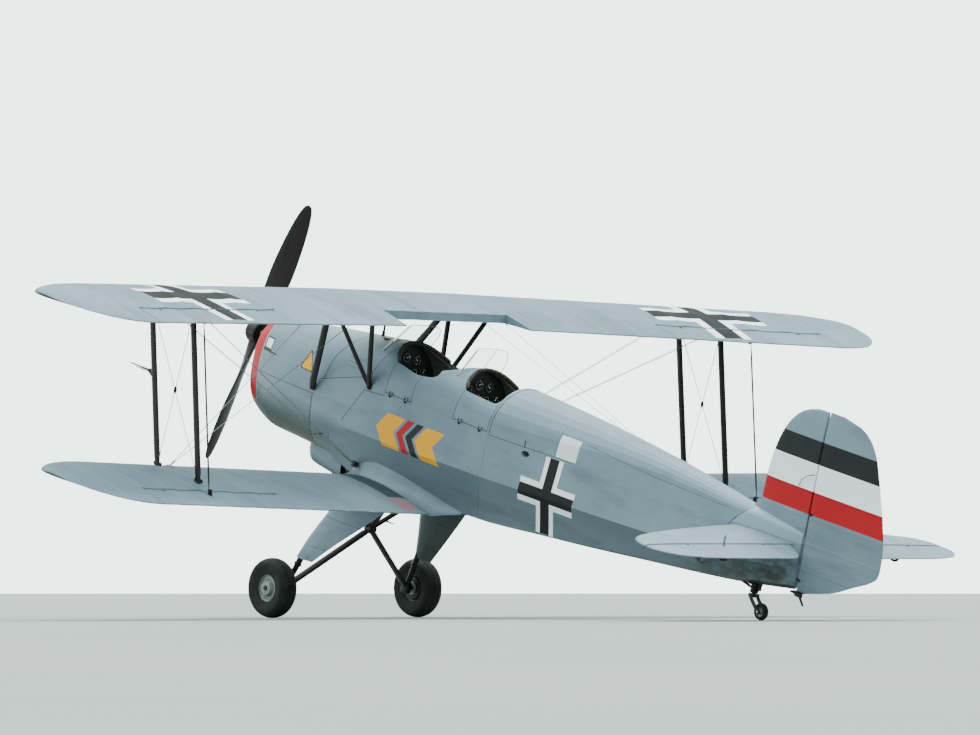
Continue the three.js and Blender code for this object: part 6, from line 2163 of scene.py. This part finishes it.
def build_tail_leg():
    """The sleeve that holds the fork, its foot under the keel, a brace and a ribbed gaiter."""
    leg = Shape().lathe(SLEEVE, (SWIVEL_X, 0, 0), Z_AXIS, 32)
    foot_plate(leg, (SWIVEL_X, 0, skin_low(SWIVEL_X) - 2), 96, 66, 18, 8, 2)
    leg.tube([(SWIVEL_X + 120, 0, skin_low(SWIVEL_X + 120) + 6), (SWIVEL_X + 34, 0, -410)], 9, 14)
    for k in range(6):
        leg.tube([(SWIVEL_X - 44, 0, z - 11 * k) for z in (-352, -361)], 14, 18, paint=1)
    fit("tail_leg_sleeve", leg, [BLACK_STEEL, LEATHER_DARK], 35, "black_paint", "tail_leg")


def build_fork():
    """The swivelling fork with its crown, two bent arms, and the axle with its nuts."""
    fork = Shape().tube([(SWIVEL_X, 0, -400), (SWIVEL_X, 0, FORK_TOP - 10)], 12.4, 28)
    fork.plate(rounded(52, 70, 14, 4), (SWIVEL_X - 3, 0, FORK_TOP - 11), X_AXIS, Y_AXIS, 21, 3)
    x, z = TAIL_WHEEL["x"], TAIL_WHEEL["z"]
    for side in (-1, 1):
        y = side * FORK_Y
        shoulder = [(SWIVEL_X - 2, y, FORK_TOP - 14), (SWIVEL_X - 34, y, FORK_TOP - 48)]
        arm = [*shoulder, (x + 22, y, z + 16), (x, y, z)]
        fork.tube(smooth_path(arm, 9, 3), 5, 18, 15)
        eye = [(0, -5), (15, -5), (16, -3), (16, 3), (15, 5), (0, 5)]
        fork.lathe(eye, arm[-1], Y_AXIS, 28, closed=False)
        fork.tube([(x, side * 35, z), (x, side * 41, z)], 7, 6, paint=1)
        lug_x = SWIVEL_X - 20
        fork.tube([(lug_x, side * 30, FORK_TOP - 4), (lug_x, side * 34, FORK_TOP + 3)], 3, 8, paint=1)
    fork.tube([(x, -FORK_Y, z), (x, FORK_Y, z)], 7.8, 24)
    fit("tail_wheel_fork", fork, [BLACK_STEEL, BARE_STEEL], 35, "black_paint", "tail_fork", body="tail_fork")


def build_tail_wheel():
    build_tail_leg()
    build_fork()
    half = TAIL_WHEEL["width"] / 2
    centre = (TAIL_WHEEL["x"], 0, TAIL_WHEEL["z"])
    wheel = Shape().lathe(mirrored(TAIL_TYRE, half), centre)
    wheel.lathe(mirrored(TAIL_DISC, half), centre, paint=1)
    fit("tail_wheel_tyre", wheel, [RUBBER, HUB_METAL], 35, "tyre_rubber", "tail_wheel", body="tail_wheel")


# Small fittings over the main parts
GAUGE_X, GAUGE_HEIGHT = -1350, 150
FILLER_CAP = (-1480, 70)
# Louvres: height, front and rear
LOUVRES = ((150, -1330, -1510), (120, -1350, -1535), (95, -1365, -1550))
GRAB_BAR = ((-1085, -487), (-1205, -452))
LEAD = ((-5650, 18, 345), (-5685, 38, 398), (-5735, 44, 432), (-5778, 19, 450))
ELEVATOR_RING = {"x": -5850, "y": 780, "radius": 46}


def build_deck_fittings():
    """Fuel gauge and filler cap on the deck, louvres on both sides and a grab bar on the left."""
    gauge = [
        (0, 0), (17, 0), (17, 5), (11, 9), (11, 34), (7.5, 38), (7.5, GAUGE_HEIGHT - 14),
        (9, GAUGE_HEIGHT - 12), (9, GAUGE_HEIGHT), (0, GAUGE_HEIGHT),
    ]
    deck = Shape().lathe(gauge, (GAUGE_X, 0, deck_z(GAUGE_X, 0) - 3), Z_AXIS, 24, closed=False)
    x, y = FILLER_CAP
    deck.tube([(x, y, deck_z(x, y) + rise) for rise in (-3, 6)], 26, 28)
    for side in (1, -1):
        for z, front, rear in LOUVRES:
            path = [(x, side * (skin_y(x, z) - 2), z) for x in np.linspace(front, rear, 9)]
            deck.tube(path, [2, 5, 6, 6, 6, 6, 6, 5, 2], 12, 8, facing=Z_AXIS, paint=1)
    ends = [np.array([x, skin_y(x, z) - 3, z]) for x, z in GRAB_BAR]
    raised = [lerp(*ends, share) + (0, 22, 0) for share in (0.1, 0.9)]
    deck.tube(smooth_path([ends[0], *raised, ends[1]], 8, 2), 4, 12)
    fit("deck_fittings", deck, [BLACK_STEEL, FILLET_PAINT], 40, "cowl_metal")


def build_air_speed_head():
    """The air-speed head on the left front strut."""
    foot = on_wing(LOWER, 1, STRUT_Y, FRONT_SPAR, "up", 2)
    head = on_wing(UPPER, 1, STRUT_Y, FRONT_SPAR, "low", -2)
    at = lerp(head, foot, 0.44)
    bracket = [(0, -36), (52, -8), (60, 0), (52, 8), (0, 22)]
    probe = Shape().plate(bracket, at + (20, 0, 0), X_AXIS, Z_AXIS, 7, 1)
    probe.tube([at + (x, 0, 2) for x in (20, 150, 156, 262)], [6.5, 6.5, 4.6, 4.6], 14)
    probe.tube([at + (x, 0, -9) for x in (30, 200)], 3.4, 10)
    fit_steel("air_speed_head", probe)


def build_lashing_rings():
    """Rings under the lower wings, plates at the feet and heads of the struts, two levers at the apex."""
    rings = Shape()
    torus = [(24 + 5 * c, 5 * s) for c, s in zip(*circle(10))]
    for side in (1, -1):
        at = on_wing(LOWER, side, STRUT_Y, REAR_SPAR, "low")
        rings.plate([(-74, 8), (74, 8), (58, -12), (6, -26), (-50, -24)], at, X_AXIS, Z_AXIS, 9, 1.5)
        rings.lathe(torus, at + (-66, 0, -24), Y_AXIS, 26)
        for wing, surface, rise in ((LOWER, "up", 12), (UPPER, "low", -12)):
            for fraction in (FRONT_SPAR, REAR_SPAR):
                joint = on_wing(wing, side, STRUT_Y, fraction, surface, rise)
                foot_plate(rings, joint, 84, 26, 8, 9, up=Z_AXIS)
                for shift in (-28, 28):
                    rings.tube([joint + (shift, y, 0) for y in (-8, 8)], 5, 6)
    lever = APEX + (6, 34, 16)
    rings.tube([lever, lever + (8, 12, 60), lever + (14, 16, 78)], [7, 6, 5], 10)
    brace = lerp(APEX, sided(REAR_BRACE, -1), 0.24)
    rings.tube([brace, brace + (-26, -50, -14), brace + (-34, -66, -12)], [7, 5, 3], 10)
    fit_steel("lashing_rings", rings)


def build_rudder_fittings():
    """The lead that joins fin and rudder, and the lever under the rudder's heel."""
    lead = Shape().tube(smooth_path(LEAD, 6, 8), 2.6, 8)
    fit_steel("fin_bonding_lead", lead)
    heel = Shape().plate(rounded(54, 118, 12), (RUDDER_HINGE, 0, -326), X_AXIS, Y_AXIS, 12, 2)
    block = [(-34, -20), (24, -20), (24, 10), (-34, 10)]
    heel.plate(block, (RUDDER_HINGE, 0, -338), X_AXIS, Z_AXIS, 22, 2)
    heel.tube([(RUDDER_HINGE - 8, 0, -342), (RUDDER_HINGE - 62, 0, -404)], [9, 7], 14)
    fit_steel("rudder_heel_lever", heel, body="rudder")


def build_elevator_rings():
    """A ring under each elevator and a horn above it."""
    loops = Shape()
    radius = ELEVATOR_RING["radius"]
    turns = np.linspace(0, math.pi, 17)
    bow = [(ELEVATOR_RING["x"] + radius * math.cos(t), TAIL_Z - 10 - radius * math.sin(t)) for t in turns]
    for side in (1, -1):
        loops.tube([(x, side * ELEVATOR_RING["y"], z) for x, z in bow], 8, 12)
        horn = [(-11, 0), (11, 0), (8, 60), (3, 74), (-3, 74), (-8, 60)]
        loops.plate(horn, (TAIL_HINGE - 20, side * 700, TAIL_Z + 10), X_AXIS, Z_AXIS, 5, 1, 1)
    fit("elevator_rings", loops, [BLACK_STEEL, FILLET_PAINT], 40, "black_paint", body="elevator")


def finish_floor():
    """The boards' finish on the CAD floor, which stays in view."""
    material = boards()
    for slot in frame["nodes"]["cockpit_floor"].material_slots:
        slot.material = material


# Propeller
BLADE = Table("r chord thick pitch", [
    (60, 96, 84, 62), (150, 120, 62, 54), (300, 158, 40, 41), (480, 172, 28, 31), (660, 160, 21, 24),
    (820, 130, 15, 20), (920, 92, 11, 17), (968, 52, 8, 16), (980, 18, 6, 16),
])
BLADE_STATIONS = (*np.linspace(60, 900, 26), 920, 935, 948, 958, 966, 972, 977, 980)
BLADE_SECTION = (
    (0.5, 0), (0.44, 0.22), (0.3, 0.4), (0.12, 0.49), (-0.08, 0.48), (-0.3, 0.3), (-0.45, 0.1),
    (-0.5, 0), (-0.45, -0.12), (-0.2, -0.35), (0.2, -0.45), (0.42, -0.25),
)
PROP_LEAN_DEG = 16
BOSS = ((24.3, -52), (78, -52), (84, -44), (84, 38), (78, 46), (24.3, 46))
HUB_CAP = (
    (0, 46.4), (76, 46.4), (76, 52), (73, 56), (58, 60), (54, 66), (40, 84), (36, 88), (22, 94), (20, 96),
    (0, 96),
)


def propeller_finish():
    finish = Finish("dark_laminated_wood", (23, 18, 19), 0.32)
    wood = finish.noise(9.0, 4, (1.2, 1, 0.12), 0.6)
    finish.layer(finish.ramp(wood, 0.42, 0.62), (16, 14, 15))
    rings = finish.math("PINGPONG", finish.axis("x"), 0.009)
    finish.layer(finish.ramp(rings, 0.0008, 0.0002), (48, 34, 28), 0.35)
    finish.raise_by(wood, 0.0002)
    finish.rough(finish.noise(20.0, 2), 0.24, 0.42)
    return finish.done()


def blade(turn_deg):
    """Rings of a twisted blade, from its root to its tip."""
    tilt = math.radians(PROP_LEAN_DEG + turn_deg)
    outward = np.array([0, -math.sin(tilt), math.cos(tilt)])
    sideways = np.array([0, math.cos(tilt), math.sin(tilt)])
    rings = []
    for r in BLADE_STATIONS:
        chord, thick, pitch_deg = (BLADE.read(name, r) for name in ("chord", "thick", "pitch"))
        pitch = math.radians(pitch_deg)
        flat = unit(sideways * math.cos(pitch) + X_AXIS * math.sin(pitch))
        normal = unit(np.cross(flat, outward))
        rings.append([outward * r + flat * c * chord + normal * h * thick for c, h in BLADE_SECTION])
    return rings


def build_propeller():
    """Two blades and their boss in dark wood, and the bolted plate before them."""
    wood = propeller_finish()
    blades = Shape().loft(blade(0)).loft(blade(180))
    fit("propeller_blades", blades, [wood], 50, "propeller_wood", "propeller", body="propeller")
    boss = Shape().lathe(BOSS, (0, 0, 0), X_AXIS)
    fit("propeller_boss", boss, [wood], 30, "propeller_wood", body="propeller")
    cap = Shape().lathe(HUB_CAP, (0, 0, 0), X_AXIS, closed=False)
    for cos, sin in zip(*circle(8)):
        at = np.array([54, 66 * cos, 66 * sin])
        cap.tube([at, at + (9, 0, 0)], [6.5, 6.0], 6)
    fit("propeller_hub_plate", cap, [BARE_STEEL], 30, "engine_metal", "prop_hub_plate", body="propeller")


# Camera, lights and floor
AZIMUTH, DISTANCE, CAMERA_HEIGHT = 228.3, 40.0, 0.25
LENS, AIM, CLIP_END = 219.0, (-0.2, 0.63, 1.69), 300
FLOOR_RADIUS = 90
SKY_LINE, SKY_SIDES, SKY_TOP = 4.4, 1.4, 4.6
SKY_COLOUR = (0.84, 0.96, 0.91, 1)
KEY_STRENGTH, KEY_SPREAD_DEG, KEY_TOWARD = 4.0, 30, (-0.1, 0.3, -1.0)


def overcast_strength(tree, strength):
    """Soft studio light: bright overhead, dimmer at the sides and pale along the horizon."""
    def level(**values):
        node = tree.nodes.new("ShaderNodeMapRange")
        for key, value in values.items():
            node.inputs[key.replace("_", " ")].default_value = value
        return node

    direction = tree.nodes.new("ShaderNodeTexCoord")
    parts = tree.nodes.new("ShaderNodeSeparateXYZ")
    tree.links.new(direction.outputs["Generated"], parts.inputs[0])
    above = level(From_Min=0.15, From_Max=0.8, To_Min=SKY_SIDES, To_Max=SKY_TOP)
    horizon = level(From_Min=0.1, From_Max=0.2, To_Min=SKY_LINE, To_Max=0.0)
    brightest = tree.nodes.new("ShaderNodeMath")
    brightest.operation = "MAXIMUM"
    for node, socket in zip((above, horizon), brightest.inputs):
        tree.links.new(parts.outputs["Z"], node.inputs["Value"])
        tree.links.new(node.outputs[0], socket)
    tree.links.new(brightest.outputs[0], strength)


def build_floor():
    floor = bpy.data.meshes.new("floor")
    grid = bmesh.new()
    bmesh.ops.create_circle(grid, cap_ends=True, segments=96, radius=FLOOR_RADIUS)
    grid.to_mesh(floor)
    grid.free()
    finish = Finish("pale_floor", (126, 132, 130), 0.9)
    finish.layer(finish.ramp(finish.noise(0.35, 3), 0.3, 0.7), (122, 129, 127))
    floor.materials.append(finish.done())
    added("floor", floor)


def build_light():
    world = bpy.context.scene.world or bpy.data.worlds.new("overcast")
    bpy.context.scene.world = world
    world.use_nodes = True
    sky = world.node_tree.nodes["Background"]
    sky.inputs["Color"].default_value = SKY_COLOUR
    overcast_strength(world.node_tree, sky.inputs["Strength"])
    sun = bpy.data.lights.new("soft_key", "SUN")
    sun.energy = KEY_STRENGTH
    sun.angle = math.radians(KEY_SPREAD_DEG)
    key = added("soft_key", sun)
    key.rotation_euler = Vector(KEY_TOWARD).to_track_quat("-Z", "Y").to_euler()


def build_camera():
    """The photograph's side and angle, from far off with a long lens."""
    lens = bpy.data.cameras.new("camera")
    lens.lens = LENS
    lens.clip_end = CLIP_END
    camera = added("camera", lens)
    turn = math.radians(AZIMUTH)
    back = Vector((math.sin(turn), -math.cos(turn), 0)) * DISTANCE
    camera.location = Vector((AIM[0], AIM[1], CAMERA_HEIGHT)) + back
    toward = Vector(AIM) - camera.location
    camera.rotation_euler = toward.to_track_quat("-Z", "Y").to_euler()
    bpy.context.scene.camera = camera


build_floor()
build_light()
build_camera()
build_nose()
build_cockpit()
build_rear_fuselage()
build_rims()
build_screens()
build_seats()
build_controls()
build_panels()
build_wings()
build_struts()
build_tail()
build_gear()
build_propeller()
build_engine()
build_outlet()
build_tail_wheel()
build_deck_fittings()
build_air_speed_head()
build_lashing_rings()
build_rudder_fittings()
build_elevator_rings()
finish_floor()
